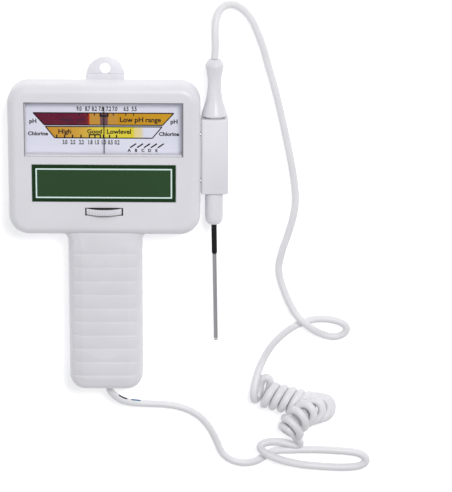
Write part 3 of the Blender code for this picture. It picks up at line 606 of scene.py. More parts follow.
HANDLE_FRONT = (
    (19.0, 0.0),
    (20.8, 0.12),
    (22.4, 0.42),
    (23.8, 0.9),
    (24.9, 1.5),
    (25.8, 2.2),
    (26.4, 2.85),
    (26.8, 3.4),
    (27.0, 3.95),
    (27.15, 4.6),
    (27.75, 6.7),
    (27.9, 7.3),
    (27.97, 7.8),
    (HANDLE_DEPTH, 8.4),
)
HEAD_TAPER = ((0.0, 5.2), (0.2, 4.75), (0.5, 4.4), (1.0, 4.05), (1.6, 3.7), (3.2, 3.0), (6.0, 2.1))
HANDLE_TAPER = ((0.0, 2.2), (0.2, 1.75), (0.5, 1.4), (1.0, 1.05), (1.6, 0.8), (3.2, 0.5), (6.0, 0.3))


def skin(name, head_levels, handle_levels):
    """A head and a handle in one; levels are (z, how far in)."""
    head = loft([head_outline(i, z) for z, i in head_levels])
    made = add_object(name, head, MATERIALS["white_plastic"])
    handle = loft([handle_outline(i, z) for z, i in handle_levels])
    return combine(made, [cutter(handle)], "UNION")


def cavity(head_levels, handle_levels):
    return [
        cutter(loft([head_outline(i + WALL, z) for z, i in head_levels])),
        cutter(loft([handle_outline(i + WALL, z) for z, i in handle_levels])),
    ]


def grooves():
    """Cutters for the shallow grip grooves: they run over the flat and down its two facets."""
    left = [(-x, surface) for x, surface in GROOVE_SECTIONS]
    shapes = []
    for i in range(GROOVES):
        y = GROOVE_FIRST_Y - GROOVE_PITCH * i
        rings = []
        for x, surface in (*left, *reversed(GROOVE_SECTIONS)):
            low, high = surface - GROOVE_DEPTH, surface + GROOVE_CLEAR
            across = ((0.0, low), (GROOVE_FLOOR, low), (GROOVE_SLOPE, high), (-GROOVE_STEP, high))
            rings.append([(x, y + out, z) for out, z in across])
        shapes.append(loft(rings))
    return merged(shapes)


def bush_hole():
    return rod(BUSH_RADIUS + GAP, HANDLE_END_Y - 2, HANDLE_END_Y + WALL + 1, "Y", (EXIT_X, PARTING_Z), 32)


def front_case():
    low = PARTING_Z + GAP / 2
    seam = [(low, 0.22), (low + 0.22, 0.0)]
    made = skin(
        "case_front", [*seam, *rounded_edge(HEAD_DEPTH, HEAD_ROUNDING, 12)], [*seam, *HANDLE_FRONT]
    )
    head_space = [(low - 1, 0.0), *rounded_edge(HEAD_DEPTH - WALL, HEAD_ROUNDING - WALL, 5)]
    handle_space = [(low - 1, 0.0), (20.5, 0.0), (24.6, 1.6), (HANDLE_DEPTH - WALL, 5.0)]
    combine(made, cavity(head_space, handle_space))
    y0, y1 = WINDOW_Y
    collar_low = DIAL_TOP + GAP
    collar = block(
        (-WINDOW_HALF_X - 1.4, WINDOW_HALF_X + 1.4), (y0 - 1.4, y1 + 1.4), (collar_low, 28.2)
    )
    bosses = merged([rod(BOSS_RADIUS, low, 28.2, "Z", place, 24) for place in SCREW_PLACES])
    combine(made, [cutter(collar), cutter(bosses)], "UNION")
    window_x, ledge_x = (-WINDOW_HALF_X, WINDOW_HALF_X), WINDOW_HALF_X - WINDOW_LEDGE
    edge = ((HEAD_DEPTH - EDGE_ROUNDING, 0), (31, 1 + EDGE_ROUNDING))
    seat = flared_block(window_x, WINDOW_Y, ((PANE_TOP - 1.6, 0), *edge))
    opening = block(
        (-ledge_x, ledge_x), (y0 + WINDOW_LEDGE, y1 - WINDOW_LEDGE), (collar_low - 1, 31)
    )
    label = block(
        (-LABEL_HALF_X - GAP, LABEL_HALF_X + GAP),
        (LABEL_Y[0] - GAP, LABEL_Y[1] + GAP),
        (HEAD_DEPTH - LABEL_RECESS, 31),
    )
    slit = block(
        (-POINTER_SLIT_HALF_X, POINTER_SLIT_HALF_X),
        (y0 - 2, y0 + WINDOW_LEDGE + 0.5),
        (collar_low - 1, POINTER_TOP + 0.5),
    )
    half = SLOT_WIDTH / 2
    radius = WHEEL_RADIUS + 0.5
    slot = rod(radius, WHEEL_Y - half, WHEEL_Y + half, "Y", (0.0, WHEEL_Z), 96)
    reach = math.sqrt(radius**2 - (HEAD_DEPTH - WHEEL_Z) ** 2)
    slot_edge = flared_block((-reach, reach), (WHEEL_Y - half, WHEEL_Y + half), edge)
    holes = merged([rod(SCREW_SHAFT_RADIUS + GAP, low - 1, 22, "Z", p, 24) for p in SCREW_PLACES])
    tools = (seat, opening, label, slit, slot, slot_edge, grooves(), holes, bush_hole())
    combine(made, [cutter(shape) for shape in tools])
    part(shade(made), "housing", "white_plastic", "front_cover")


def hanger_tab():
    centre = (0.0, TAB_TOP_Y - TAB_RADIUS)
    outline = [(TAB_RADIUS, TAB_ROOT_Y), *arc(centre, TAB_RADIUS, 0, 180, 40), (-TAB_RADIUS, TAB_ROOT_Y)]
    rings = []
    top = TAB_THICKNESS
    for z, inset in ((0, 0.4), (0.15, 0.12), (0.4, 0), (top - 0.4, 0), (top - 0.15, 0.12), (top, 0.4)):
        scale = (TAB_RADIUS - inset) / TAB_RADIUS
        rings.append([(x * scale, centre[1] + (y - centre[1]) * scale, z) for x, y in outline])
    band = flared_block(
        (-10.3, 10.3), (TAB_ROOT_Y, HEAD_HALF_Y + 1.2), ((0.5, 0), (4.6, 0), (4.85, -0.1), (5.0, -0.35))
    )
    return [cutter(loft(rings)), cutter(band)]


def rear_case():
    high = PARTING_Z - GAP / 2
    seam = [(high - 0.22, 0.0), (high, 0.22)]
    made = skin("case_rear", [*HEAD_TAPER, *seam], [*HANDLE_TAPER, *seam])
    head_space = [(WALL, 3.4), (6.0, 2.1), (high, 0.0), (high + 1, 0.0)]
    handle_space = [(WALL, 0.7), (6.0, 0.3), (high, 0.0), (high + 1, 0.0)]
    combine(made, cavity(head_space, handle_space))
    bosses = merged([rod(BOSS_RADIUS, 1.0, high, "Z", place, 24) for place in SCREW_PLACES])
    combine(made, [*hanger_tab(), cutter(bosses)], "UNION")
    rims = []
    for x, y in SCREW_PLACES:
        radius = SCREW_HEAD_RADIUS + GAP
        rims.append(turned([(radius + 1.3, -1.0), (radius, 0.3), (radius, 3.5)], (x, y, 0), (0, 0, 1), 32))
    shafts = merged([rod(SCREW_SHAFT_RADIUS + GAP, -1, high + 1, "Z", p, 24) for p in SCREW_PLACES])
    profile = [(TAB_HOLE_RADIUS + 1.2, -1.0), (TAB_HOLE_RADIUS, 0.2), (TAB_HOLE_RADIUS, 6.5)]
    hole = turned(profile, (0, TAB_HOLE_Y, 0), (0, 0, 1), 40)
    combine(made, [cutter(merged(rims)), cutter(shafts), cutter(hole), cutter(bush_hole())])
    part(shade(made), "housing", "white_plastic", "rear_cover")


def screws():
    """Pan-head screws with a cross recess, sunk in the back."""
    for i, (x, y) in enumerate(SCREW_PLACES):
        edge = SCREW_HEAD_RADIUS
        profile = [(0.6, 1.2), (edge - 0.9, 1.28), (edge - 0.3, 1.5), (edge, 1.9), (edge, 3.2)]
        profile += [(SCREW_SHAFT_RADIUS, 3.2), (SCREW_SHAFT_RADIUS, SCREW_TIP_Z - 1.5), (0.5, SCREW_TIP_Z)]
        screw = turned(profile, (x, y, 0), (0, 0, 1), 32)
        made = add_object(f"screw_{i + 1}", screw, MATERIALS["steel"])
        turn = Matrix.Rotation(math.radians(25 + 37 * i), 4, "Z")
        blades = []
        for size in ((1.35, 0.28), (0.28, 1.35)):
            blade = block((-size[0], size[0]), (-size[1], size[1]), (0.2, 2.2))
            bmesh.ops.transform(blade, matrix=Matrix.Translation((x, y, 0)) @ turn, verts=blade.verts)
            blades.append(cutter(blade))
        part(shade(combine(made, blades)), "housing", "steel", f"case_screw_{i + 1}")


def cord_bush():
    """The moulded ring that the cord passes through, with a soft outer lip."""
    profile = [
        (2.2, HANDLE_END_Y + 0.4),
        (2.5, HANDLE_END_Y - 0.1),
        (BUSH_RADIUS - 0.45, HANDLE_END_Y - 0.2),
        (BUSH_RADIUS - 0.1, HANDLE_END_Y),
        (BUSH_RADIUS, HANDLE_END_Y + 0.4),
        (BUSH_RADIUS, HANDLE_END_Y + 2.8),
        (BUSH_RADIUS + 1.4, HANDLE_END_Y + 2.8),
        (BUSH_RADIUS + 1.4, HANDLE_END_Y + 4.6),
        (BUSH_RADIUS - 0.8, HANDLE_END_Y + 5.6),
        (2.2, HANDLE_END_Y + 5.6),
    ]
    ring = turned(profile, (EXIT_X, 0, PARTING_Z), (0, 1, 0), 48, True)
    piece("cord_ring", ring, "housing", "white_plastic", "cord_bush")


# ---------------------------------------------------------------- dial, label and wheel


def flat_print(name, outlines, low, high, material, slot, body="housing"):
    """Thin printed shapes: each outline is a ring of (x, y) points."""
    shapes = [loft([[(x, y, z) for x, y in outline] for z in (low, high)]) for outline in outlines]
    return part(add_object(name, merged(shapes), material), body, slot)


def bar(x0, y0, x1, y1, width):
    """The outline of a straight printed line."""
    start, end = Vector((x0, y0)), Vector((x1, y1))
    side = (end - start).normalized().orthogonal() * width / 2
    return [tuple(start - side), tuple(end - side), tuple(end + side), tuple(start + side)]


PH_BAND = ((-38.5, 25.1), (37.8, 25.1), (31.7, 18.4), (-32.5, 18.4))
CL_BAND = ((-31.9, 17.5), (31.4, 17.5), (26.2, 11.2), (-26.9, 11.2))
PH_NUMBERS = (
    ("9.0", -13.5), ("8.7", -8.9), ("8.2", -5.2), ("7.8", -1.5),
    ("7.2", 2.5), ("7.0", 5.9), ("6.5", 12.0), ("5.5", 16.4),
)
CL_NUMBERS = (
    ("3.0", -21.4), ("2.5", -17.0), ("2.2", -12.4), ("1.8", -7.7),
    ("1.5", -4.1), ("1.0", -0.4), ("0.5", 3.4), ("0.2", 7.0),
)
PH_TICKS = (-13.4, -8.8, -5.2, 5.0, 11.8, 16.0)
CL_TICKS = (-25.8, -21.5, -17.2, -12.6, -0.4, 2.9, 6.7)
MAROON, MAROON_LIGHT = (0.115, 0.004, 0.030), (0.145, 0.006, 0.034)
RED, ORANGE, MAUVE = (0.50, 0.03, 0.012), (0.58, 0.29, 0.045), (0.18, 0.085, 0.095)
GOLD, GOLD_LIGHT = (0.60, 0.29, 0.012), (0.66, 0.35, 0.020)
YELLOW, STRAW = (0.80, 0.66, 0.040), (0.82, 0.67, 0.22)
PAPER = (0.76, 0.77, 0.89)


def dial_prints():
    base = DIAL_TOP - 0.02
    ph = printed_band(
        "ph_colours",
        -39.0,
        38.0,
        [
            (-39.0, MAROON),
            (-12.0, MAROON_LIGHT),
            (-8.6, (0.20, 0.015, 0.02)),
            (-8.5, RED),
            (-7.9, RED),
            (-7.8, ORANGE),
            (-2.2, ORANGE),
            (-2.1, MAUVE),
            (2.1, MAUVE),
            (2.2, ORANGE),
            (7.0, ORANGE),
            (7.2, GOLD),
            (38.0, GOLD_LIGHT),
        ],
    )
    chlorine = printed_band(
        "chlorine_colours",
        -32.0,
        32.0,
        [
            (-32.0, (0.62, 0.29, 0.03)),
            (-16.0, (0.66, 0.36, 0.045)),
            (-8.6, (0.70, 0.46, 0.06)),
            (-8.5, (0.76, 0.54, 0.06)),
            (-1.0, (0.78, 0.66, 0.06)),
            (16.1, YELLOW),
            (16.2, STRAW),
            (20.0, (0.82, 0.70, 0.42)),
            (21.8, PAPER),
            (32.0, PAPER),
        ],
    )
    flat_print("ph_band", [PH_BAND], base, DIAL_TOP + 0.02, ph, "dial")
    flat_print("chlorine_band", [CL_BAND], base, DIAL_TOP + 0.02, chlorine, "dial")

    lines = []
    for band in (PH_BAND, CL_BAND):
        for (x0, y0), (x1, y1) in zip(band, (*band[1:], band[0])):
            lines.append(bar(x0, y0, x1, y1, 0.6))
    top, bottom = PH_BAND[0][1], CL_BAND[2][1]
    lines += [bar(x, top, x, top - 1.5, 0.55) for x in PH_TICKS]
    lines += [bar(x, bottom, x, bottom + 1.8, 0.75) for x in CL_TICKS]
    lines += [bar(-2.4, top - 1.6, 2.4, top - 1.6, 0.9)]
    lines += [bar(x, top, x, top - 1.8, 0.7) for x in (-2.1, 2.1)]
    lines += [bar(-8.4, bottom + 1.8, -1.8, bottom + 1.8, 0.75)]
    lines += [bar(x, bottom, x, bottom + 1.8, 0.7) for x in (-8.1, -5.0, -2.1)]
    for i in range(5):
        x = 14.1 + 3.75 * i
        lines.append(bar(x, 5.9, x + 3.3, 8.15, 0.75))
    black = ink("dial_ink", (0.008, 0.007, 0.010))
    flat_print("dial_lines", lines, base, DIAL_TOP + 0.05, black, "black_plastic")

    words = [(text, x, 27.35, 2.6, 0.66) for text, x in PH_NUMBERS]
    words += [(text, x, 8.7, 2.5, 0.66) for text, x in CL_NUMBERS]
    words += [(letter, 13.55 + 3.7 * i, 4.3, 1.75, 1.0) for i, letter in enumerate("ABCDE")]
    words += [("pH", x, 20.4, 2.5, 1.0) for x in (-38.6, 38.0)]
    words += [("Chlorine", x, 13.45, 2.2, 1.05) for x in (-36.0, 35.2)]
    words += [("Low", 11.9, 21.3, 2.9, 1.05), ("pH", 19.0, 21.3, 2.9, 1.05)]
    words += [("range", 26.6, 21.3, 2.9, 1.0)]
    words += [("High", -21.4, 14.7, 2.7, 1.1), ("Good", -5.2, 14.75, 2.5, 1.05)]
    words += [("Low", 4.6, 14.7, 2.7, 1.05), ("level", 11.3, 14.7, 2.7, 1.05)]
    lettering("dial_numbers", words, DIAL_TOP + 0.035, black)
    dim = ink("dial_dark_ink", (0.055, 0.010, 0.030))
    words = [("High", -20.4, 21.3, 2.9, 1.05), ("pH", -12.4, 21.3, 2.9, 1.05)]
    lettering("dial_dark_words", words, DIAL_TOP + 0.035, dim)


def lettering(name, words, z, material):
    """Raised flat text from (text, x, y, height, width) entries, as one mesh."""
    together = bmesh.new()
    for text, x, y, height, width in words:
        curve = bpy.data.curves.new("word", "FONT")
        curve.body = text
        curve.align_x, curve.align_y = "CENTER", "CENTER"
        curve.size = height * 1.32
        curve.extrude = 0.012
        curve.offset = 0.1
        curve.resolution_u = 3
        word = bpy.data.objects.new("word", curve)
        mesh = bpy.data.meshes.new_from_object(word)
        mesh.transform(Matrix.Translation((x, y, z)) @ Matrix.Diagonal((width, 1, 1, 1)))
        together.from_mesh(mesh)
        bpy.data.meshes.remove(mesh)
        bpy.data.objects.remove(word)
        bpy.data.curves.remove(curve)
    bmesh.ops.remove_doubles(together, verts=together.verts, dist=0.001)
    return part(add_object(name, together, material), "housing", "black_plastic")


def ring_outline(inset, z):
    x, (y0, y1) = LABEL_HALF_X - inset, LABEL_Y
    return [(-x, y0 + inset, z), (x, y0 + inset, z), (x, y1 - inset, z), (-x, y1 - inset, z)]


def label_frame(name, outer, inner, height, material, slot):
    low, high = LABEL_TOP - 0.02, LABEL_TOP + height
    section = ((outer, low), (outer, high), (inner, high), (inner, low))
    rings = [ring_outline(inset, z) for inset, z in section]
    return part(add_object(name, loft(rings, True), material), "housing", slot)


def window_painted_shadow():
    """Dark grey strips along the window's left, right and top edges where the pane sits: painted shadow
    for the shade that the window's walls cast.
    """
    x, (y0, y1), low = WINDOW_HALF_X, WINDOW_Y, PANE_TOP + 0.01
    # painted shadow: a dark grey standing in for shade at the window's edges
    grey = ink("painted_shadow_grey", (0.16, 0.16, 0.18), 0.6)
    width = 0.4
    inset = width / 2
    strips = [
        bar(-x + inset, y0, -x + inset, y1, width),
        bar(x - inset, y0, x - inset, y1, width),
        bar(-x, y1 - inset, x, y1 - inset, width),
    ]
    flat_print("window_painted_shadow", strips, low, low + 0.1, grey, "black_plastic")


def label():
    """The label's darker border and the pale line inside it."""
    dark = moulded(
        "label_border_green", BORDER_GREEN, 0.6, 1300.0, 0.00001, 0.1, Specular_IOR_Level=0.15
    )
    pale = ink("label_line_ink", (0.70, 0.84, 0.82), 0.42)
    label_frame("label_border", 0.05, 1.95, 0.015, dark, "green_label")
    label_frame("label_line", 1.95, 2.7, 0.03, pale, "green_label")


def thumbwheel():
    """A thumbwheel with fine ribs round its rim, and a black disc on each side: painted shade for the
    wheel's shaded side faces.
    """
    half = WHEEL_WIDTH / 2
    bore = AXLE_RADIUS + GAP
    profile = [(-half, 0.45), (-half + 0.3, 0.12), (-half + 0.6, 0.0)]
    profile += [(-y, inset) for y, inset in reversed(profile)]
    rings = []
    for i in range(RIBS * POINTS_PER_RIB):
        angle = 2 * math.pi * i / (RIBS * POINTS_PER_RIB)
        wave = 0.5 + 0.5 * math.cos(2 * math.pi * (i % POINTS_PER_RIB) / POINTS_PER_RIB)
        rim = WHEEL_RADIUS - RIB_DEPTH * (1 - wave)
        ring = [(bore, -half)]
        ring += [(rim - inset, y) for y, inset in profile]
        ring += [(bore, half)]
        out = Vector((math.cos(angle), 0.0, math.sin(angle)))
        rings.append([out * r + Vector((0.0, WHEEL_Y + y, WHEEL_Z)) for r, y in ring])
    piece("ribbed_wheel", loft(rings, True), "wheel", "white_plastic", "thumbwheel", sharp=35.0)
    # Black discs just off each side of the wheel: painted shade, not the wheel's own colour
    for side, name in ((-1, "wheel_shade_disc_low"), (1, "wheel_shade_disc_high")):
        near, far = sorted((WHEEL_Y + side * (half + 0.02), WHEEL_Y + side * (half + 0.14)))
        profile = [(bore, near), (WHEEL_RADIUS - 0.5, near), (WHEEL_RADIUS - 0.5, far), (bore, far)]
        shade_disc = turned(profile, (0, 0, WHEEL_Z), (0, 1, 0), 96, True)
        piece(name, shade_disc, "wheel", "black_plastic")


def slot_painted_shadow():
    """A black strip round the ends of the wheel's slot: painted shadow in the gap between the wheel's rim
    and the slot's ends.
    """
    inner, outer, half = WHEEL_RADIUS + 0.08, WHEEL_RADIUS + 0.6, SLOT_WIDTH / 2 - 0.05
    y0, y1 = WHEEL_Y - half, WHEEL_Y + half
    profile = [(inner, y0), (outer, y0), (outer, y1), (inner, y1)]
    strip = turned(profile, (0, 0, WHEEL_Z), (0, 1, 0), 96, True)
    # painted shadow: black lining standing in for the shade deep in the slot
    made = add_object("slot_painted_shadow", strip, MATERIALS["black_plastic"])
    around = (WHEEL_Y - 4, WHEEL_Y + 4)
    above = cutter(block((-20, 20), around, (HEAD_DEPTH - 0.12, 40)))
    below = cutter(block((-20, 20), around, (0, HEAD_DEPTH - 2.4)))
    part(shade(combine(made, [above, below])), "housing", "black_plastic")


# ---------------------------------------------------------------- probe


def probe_holder():
    """A rounded sleeve on the case's side, bored for the probe."""
    (x0, x1), (y0, y1), (z0, z1) = HOLDER_X, HOLDER_Y, HOLDER_Z

    def section(inset, y):
        corners = ((x1, z1, -1, -1, 0), (x0, z1, 1, -1, 90), (x0, z0, 1, 1, 180), (x1, z0, -1, 1, 270))
        points = []
        for x, z, sx, sz, start in corners:
            centre = (x + sx * HOLDER_ROUNDING, z + sz * HOLDER_ROUNDING)
            points += arc(centre, HOLDER_ROUNDING - inset, start, start + 90, 8)
        return [(x, y, z) for x, z in reversed(points)]

    ends = ((0.9, 0.0), (0.45, 0.12), (0.15, 0.4), (0.0, 0.9))
    levels = [(inset, y0 + far) for inset, far in ends]
    levels += [(inset, y1 - far) for inset, far in reversed(ends)]
    body = loft([section(inset, y) for inset, y in levels])
    made = add_object("holder", body, MATERIALS["white_plastic"])
    bore_radius = BARREL_RADIUS + GAP
    wide = bore_radius + 1.3
    profile = [(wide, y0 - 1), (bore_radius, y0 + 0.3), (bore_radius, y1 - 0.3), (wide, y1 + 1)]
    combine(made, [cutter(turned(profile, (PROBE_X, 0, PROBE_Z), (0, 1, 0), 64))])
    part(shade(made), "housing", "white_plastic", "probe_holder")


CAP_PROFILE = (
    (6.7, CAP_START_Y),
    (7.0, 22.8),
    (6.75, 24.2),
    (5.9, 26.8),
    (4.9, 30.0),
    (4.2, 33.6),
    (3.8, 37.5),
    (3.75, 41.5),
    (4.15, 45.5),
    (4.8, 48.6),
    (5.05, 50.2),
    (4.7, 51.4),
    (3.7, 52.8),
    (2.7, CAP_END_Y),
)


def probe_cap():
    """The bell-shaped cap, with the raised moulding seam down its front and back."""
    outline = [tuple(p) for p in catmull([Vector(p) for p in CAP_PROFILE], 5)]
    bore = SPIGOT_RADIUS + GAP
    profile = [*reversed(outline), (bore, CAP_START_Y), (bore, SPIGOT_TOP_Y)]
    segments = 96
    rings = []
    for radius, y in profile:
        ring = []
        for i in range(segments):
            angle = 2 * math.pi * i / segments
            raised = 0.0
            if radius > SPIGOT_RADIUS + 1:
                off_seam = abs(math.cos(angle)) * radius / CAP_SEAM_HALF_WIDTH
                raised = CAP_SEAM * max(0.0, 1 - off_seam)
            r = radius + raised
            ring.append((PROBE_X + r * math.cos(angle), y, PROBE_Z + r * math.sin(angle)))
        rings.append(ring)
    piece("cap", loft(rings), "probe", "white_plastic", "probe_cap")


def probe_barrel():
    """The probe's white barrel, with a rounded nose and the spigot that the cap sits on."""
    end, top = BARREL_END_Y, CAP_START_Y - GAP
    nose = ((2.6, 0.0), (3.2, 0.15), (3.9, 0.7), (4.45, 1.7), (4.8, 3.0), (BARREL_RADIUS, 4.6))
    profile = [(BARREL_BORE, end), *((radius, end + up) for radius, up in nose)]
    profile += [(BARREL_RADIUS, top - 0.3), (BARREL_RADIUS - 0.3, top), (SPIGOT_RADIUS, top)]
    profile += [(SPIGOT_RADIUS, SPIGOT_TOP_Y), (BARREL_BORE, SPIGOT_TOP_Y)]
    barrel = turned(profile, (PROBE_X, 0, PROBE_Z), (0, 1, 0), 64, True)
    piece("barrel", barrel, "probe", "white_plastic", "probe_barrel")


def electrode():
    """The black sleeve and the steel tube below it, which leans a little and ends in a slant."""
    lean = math.radians(ELECTRODE_LEAN)
    axis = Vector((-math.sin(lean), math.cos(lean), 0.0))
    origin = Vector((PROBE_X, BARREL_END_Y, PROBE_Z))

    def leaning(profile, segments=40):
        return turned([(r, y - BARREL_END_Y) for r, y in profile], origin, axis, segments, True)

    end = SLEEVE_END_Y
    sleeve = leaning([(0.95, end), (1.35, end), (1.5, end + 0.2), (1.5, -27), (0.95, -27)])
    piece("sleeve", sleeve, "probe", "black_sleeve", "insulating_sleeve")
    top = end - GAP
    shape = leaning([(1.0, TIP_Y), (1.5, TIP_Y), (1.5, top), (1.0, top)])
    tube = add_object("needle_tube", shape, MATERIALS["electrode_metal"])
    tip_x = PROBE_X + (BARREL_END_Y - TIP_Y) * math.tan(lean)
    slant = ((TIP_Y - 1, PROBE_Z - 4), (TIP_Y + 5, PROBE_Z + 4), (TIP_Y - 1, PROBE_Z + 4))
    wedge = [[(x, y, z) for y, z in slant] for x in (tip_x - 4, tip_x + 4)]
    combine(tube, [cutter(loft(wedge))])
    part(shade(tube), "probe", "electrode_metal", "electrode_tube")


# ---------------------------------------------------------------- cord

PROBE_LEAD = (
    (PROBE_X, CAP_END_Y + GAP, PROBE_Z),
    (60.2, 59.8, 15.0),
    (60.0, 66.3, 14.8),
    (60.1, 72.7, 13.8),
    (60.9, 76.8, 12.2),
    (62.2, 79.5, 10.4),
    (64.1, 81.6, 8.6),
    (68.1, 82.5, 6.2),
    (72.2, 81.1, 4.4),
    (75.9, 78.2, 3.3),
    (78.8, 74.9, 2.7),
    (81.7, 69.5, 2.4),
    (84.1, 63.6, 2.4),
    (86.5, 56.9, 2.4),
    (89.1, 47.6, 2.4),
    (91.9, 38.4, 2.4),
    (94.4, 28.8, 2.4),
    (97.0, 18.0, 2.4),
    (102.1, -5.6, 2.4),
    (104.9, -24.4, 2.4),
    (104.2, -36.5, 2.4),
    (100.9, -48.7, 2.4),
    (98.0, -57.6, 2.4),
    (96.0, -68.5, 2.5),
    (98.9, -80.0, 3.4),
    (105.0, -92.6, 5.8),
    (110.0, -97.9, 7.2),
    (115.2, -102.6, 5.8),
    (121.0, -106.4, 3.2),
    (127.0, -108.2, 2.4),
    (132.6, -107.0, 2.4),
    (135.7, -103.1, 2.4),
    (131.0, -99.1, 2.4),
    (121.2, -97.4, 2.4),
    (112.2, -98.8, 2.4),
    (103.3, -103.2, 2.4),
    (95.4, -110.2, 2.4),
    (90.4, -117.0, 2.4),
    (86.8, -124.4, 3.2),
    (84.6, -129.6, 5.2),
    (83.3, -133.8, 7.6),
)
# The middle of the wound turns: straight along the ground, then one curve that rises, folds back
# over itself and comes down in front.
WOUND_START = (86.9, -139.7, 8.4)
WOUND_FOLD = ((111.1, -146.4, 8.4), (138.0, -152.0, 6.0), (105.0, -136.0, 31.0), (103.3, -162.7, 12.2))
MIDDLE_SPACING = 0.25
# The last turns stand further apart than the others.
TURN_PITCH, LAST_TURNS_SPREAD, SPREAD_FROM_TURN = 4.95, 2.4, 10.3
# The way the turns face before, in and after the fold, and the turns between which that changes.
FACING = ((0.92, -0.32, 0.25), (0.10, 0.70, 1.50), (-0.60, -0.66, 0.45))
FACING_TURNS = (3.0, 12.0)
HANDLE_LEAD = (
    (108.0, -168.4, 6.9),
    (110.0, -170.4, 5.4),
    (109.7, -172.7, 3.9),
    (106.6, -173.1, 3.2),
    (101.0, -171.5, 3.4),
    (94.4, -170.3, 4.8),
    (88.2, -170.4, 6.6),
    (85.6, -172.4, 7.5),
    (87.9, -175.4, 7.6),
    (92.0, -177.9, 7.4),
    (96.5, -180.0, 6.9),
    (104.0, -183.0, 4.7),
    (113.4, -185.3, 2.6),
    (130.8, -186.6, 2.4),
    (142.5, -186.0, 2.4),
    (148.2, -183.0, 2.4),
    (143.6, -178.0, 2.4),
    (128.3, -176.3, 2.4),
    (112.5, -175.9, 2.4),
    (103.8, -176.3, 2.4),
    (97.1, -176.3, 2.4),
    (92.0, -177.6, 2.4),
    (88.6, -180.4, 2.4),
    (85.2, -182.8, 2.4),
    (78.6, -184.3, 2.4),
    (70.9, -182.9, 2.4),
    (64.7, -178.0, 2.4),
    (61.3, -169.6, 2.4),
    (57.2, -162.0, 2.4),
    (51.8, -155.8, 2.4),
    (43.4, -151.2, 2.4),
    (33.4, -149.1, 2.4),
    (21.5, -148.3, 3.2),
    (13.5, -147.0, 5.4),
    (7.8, -144.4, 8.6),
    (3.4, -139.8, 12.2),
    (1.3, -137.0, 13.6),
    (EXIT_X, HANDLE_END_Y - 2.2, PARTING_Z),
    (EXIT_X, HANDLE_END_Y - 0.6, PARTING_Z),
)
# The first, loose turn: down the near side, round underneath and back up to a hook.
LOOSE_TURN = (
    (82.6, -138.6, 9.2),
    (82.5, -142.4, 8.6),
    (83.6, -145.6, 5.6),
    (85.4, -144.0, 2.6),
    (86.4, -138.4, 2.6),
    (86.9, -134.0, 3.6),
    (88.3, -131.4, 4.6),
    (90.6, -130.9, 5.0),
    (92.3, -133.0, 4.4),
    (92.0, -137.0, 3.0),
)
COIL_RADIUS = 6.45
POINTS_PER_TURN = 36
COIL_FIRST, COIL_LAST = -0.45, 12.3
LEAD_STEPS = 12
CORD_SPACING, SOFTENING_PASSES = 1.15, 9
FULLER, FULLER_BELOW_Y, FULLER_RIGHT_OF_X, FULLER_OVER = 0.22, -122.0, 70.0, 12.0
CORE_RADIUS, CORE_OUT, CORE_UP = 0.5, 1.85, 0.7


def coil_middle():
    """Evenly spaced points along the middle of the wound turns."""
    start = Vector(WOUND_START)
    fold, rise, over, end = (Vector(p) for p in WOUND_FOLD)
    points = [start.lerp(fold, i / 40) for i in range(40)]
    for i in range(161):
        t = i / 160
        u = 1 - t
        points.append(u**3 * fold + 3 * u * u * t * rise + 3 * u * t * t * over + t**3 * end)
    return resampled(points, MIDDLE_SPACING)


def coil_facing(turn):
    """The way the coil's axis points, at this many turns along it."""
    low, high = FACING_TURNS
    t = min(1.0, max(0.0, (turn - low) / (high - low)))
    t = t * t * (3 - 2 * t)
    first, top, last = (Vector(f) for f in FACING)
    return ((1 - t) ** 2 * first + 2 * t * (1 - t) * top + t * t * last).normalized()


def coil():
    """The wound turns: a helix carried along the coil's middle, which folds back over itself."""
    middles = coil_middle()
    up = Vector((0, 0, 1))
    points = []
    count = round((COIL_LAST - COIL_FIRST) * POINTS_PER_TURN)
    for i in range(count + 1):
        turn = COIL_FIRST + i / POINTS_PER_TURN
        along = (turn + 1) * TURN_PITCH + LAST_TURNS_SPREAD * max(0.0, turn - SPREAD_FROM_TURN)
        place = min(along / MIDDLE_SPACING, len(middles) - 1.001)
        middle = middles[int(place)].lerp(middles[int(place) + 1], place % 1)
        ahead = coil_facing(turn)
        up = (up - up.dot(ahead) * ahead).normalized()
        sideways = up.cross(ahead)
        angle = 2 * math.pi * turn
        points.append(middle + COIL_RADIUS * (math.cos(angle) * up + math.sin(angle) * sideways))
    return points


def resampled(points, spacing):
    """Points along the same path at even distances."""
    lengths = [0.0]
    for a, b in zip(points, points[1:]):
        lengths.append(lengths[-1] + (b - a).length)
    count = max(2, round(lengths[-1] / spacing))
    picked, place = [], 0
    for i in range(count + 1):
        want = lengths[-1] * i / count
        while place < len(points) - 2 and lengths[place + 1] < want:
            place += 1
        step = lengths[place + 1] - lengths[place]
        share = min(1.0, (want - lengths[place]) / max(step, 1e-9))
        picked.append(points[place].lerp(points[place + 1], share))
    return picked


def softened(points, passes):
    """Rounds off small kinks while both ends stay put."""
    for _ in range(passes):
        inner = [(a + 2 * b + c) / 4 for a, b, c in zip(points, points[1:], points[2:])]
        points = [points[0], *inner, points[-1]]
    return points


def cord_route():
    """The cord's whole path: the probe's lead, a loose turn, the wound turns and the handle's lead."""
    turns = coil()
    start = [Vector(p) for p in (*PROBE_LEAD[:-1], *LOOSE_TURN)]
    end = [Vector(p) for p in HANDLE_LEAD]
    lead_in = catmull([*start, turns[0], turns[2]], LEAD_STEPS)[:-LEAD_STEPS]
    lead_out = catmull([turns[-3], turns[-1], *end], LEAD_STEPS)[LEAD_STEPS:]
    whole = [*lead_in, *turns[1:-1], *lead_out]
    return softened(resampled(whole, CORD_SPACING), SOFTENING_PASSES)


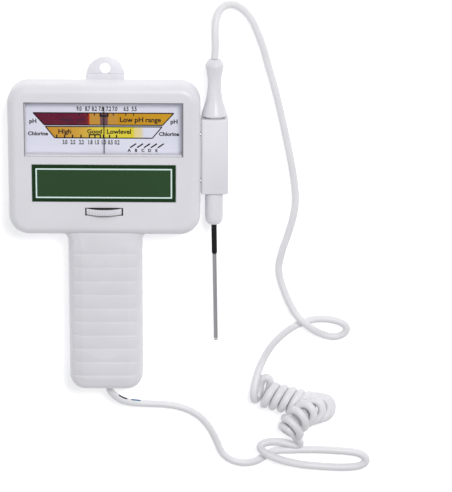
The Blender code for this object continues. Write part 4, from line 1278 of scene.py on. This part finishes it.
def wire_tube(points, radius, segments):
    """A round tube along the points; its radius is one number or a function of the point."""
    rings = []
    side = Vector((1, 0, 0))
    for i, point in enumerate(points):
        ahead = (points[min(i + 1, len(points) - 1)] - points[max(i - 1, 0)]).normalized()
        side = (side - side.dot(ahead) * ahead).normalized()
        other = ahead.cross(side)
        here = radius(point) if callable(radius) else radius
        turns = [2 * math.pi * k / segments for k in range(segments)]
        rings.append([point + here * (math.cos(a) * side + math.sin(a) * other) for a in turns])
    return loft(rings)


def cord_radius(point):
    """The cord is a little fuller where it is wound and in the loops next to it."""
    low = min(1.0, max(0.0, (FULLER_BELOW_Y - point.y) / FULLER_OVER))
    right = min(1.0, max(0.0, (point.x - FULLER_RIGHT_OF_X) / FULLER_OVER))
    return CORD_DIAMETER / 2 + FULLER * low * right


def core_wires(route):
    """Two of the cord's wires, bare for a moment on the inner side of the bend at the handle."""
    tail = route[-60:]
    made = []
    for name, low_x, high_x, colour, slot in (
        ("core_black", 5.0, 10.6, (0.012, 0.016, 0.020), "black_plastic"),
        ("core_blue", 12.6, 18.6, (0.06, 0.17, 0.30), "trimmer"),
    ):
        points = []
        for before, point, after in zip(tail, tail[1:], tail[2:]):
            ahead = (after - before).normalized()
            if low_x <= point.x <= high_x:
                out = CORE_OUT * Vector((ahead.y, -ahead.x, 0)).normalized()
                points.append(point + out + Vector((0, 0, CORE_UP)))
        tube = wire_tube(points, CORE_RADIUS, 10)
        wire = add_object(name, tube, ink(f"{name}_pvc", colour), 60.0)
        made.append(part(wire, "housing", slot))
    return made


def cord():
    route = cord_route()
    made = add_object("cord", wire_tube(route, cord_radius, 16), MATERIALS["cord_jacket"], 60.0)
    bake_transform(made)
    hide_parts("probe_lead", "curly_cord", "handle_lead")
    core_wires(route)


# ---------------------------------------------------------------- build

camera()
studio()
dress_cad_nodes()
cord()
front_case()
rear_case()
screws()
cord_bush()
dial_prints()
window_painted_shadow()
label()
thumbwheel()
slot_painted_shadow()
probe_holder()
probe_cap()
probe_barrel()
electrode()
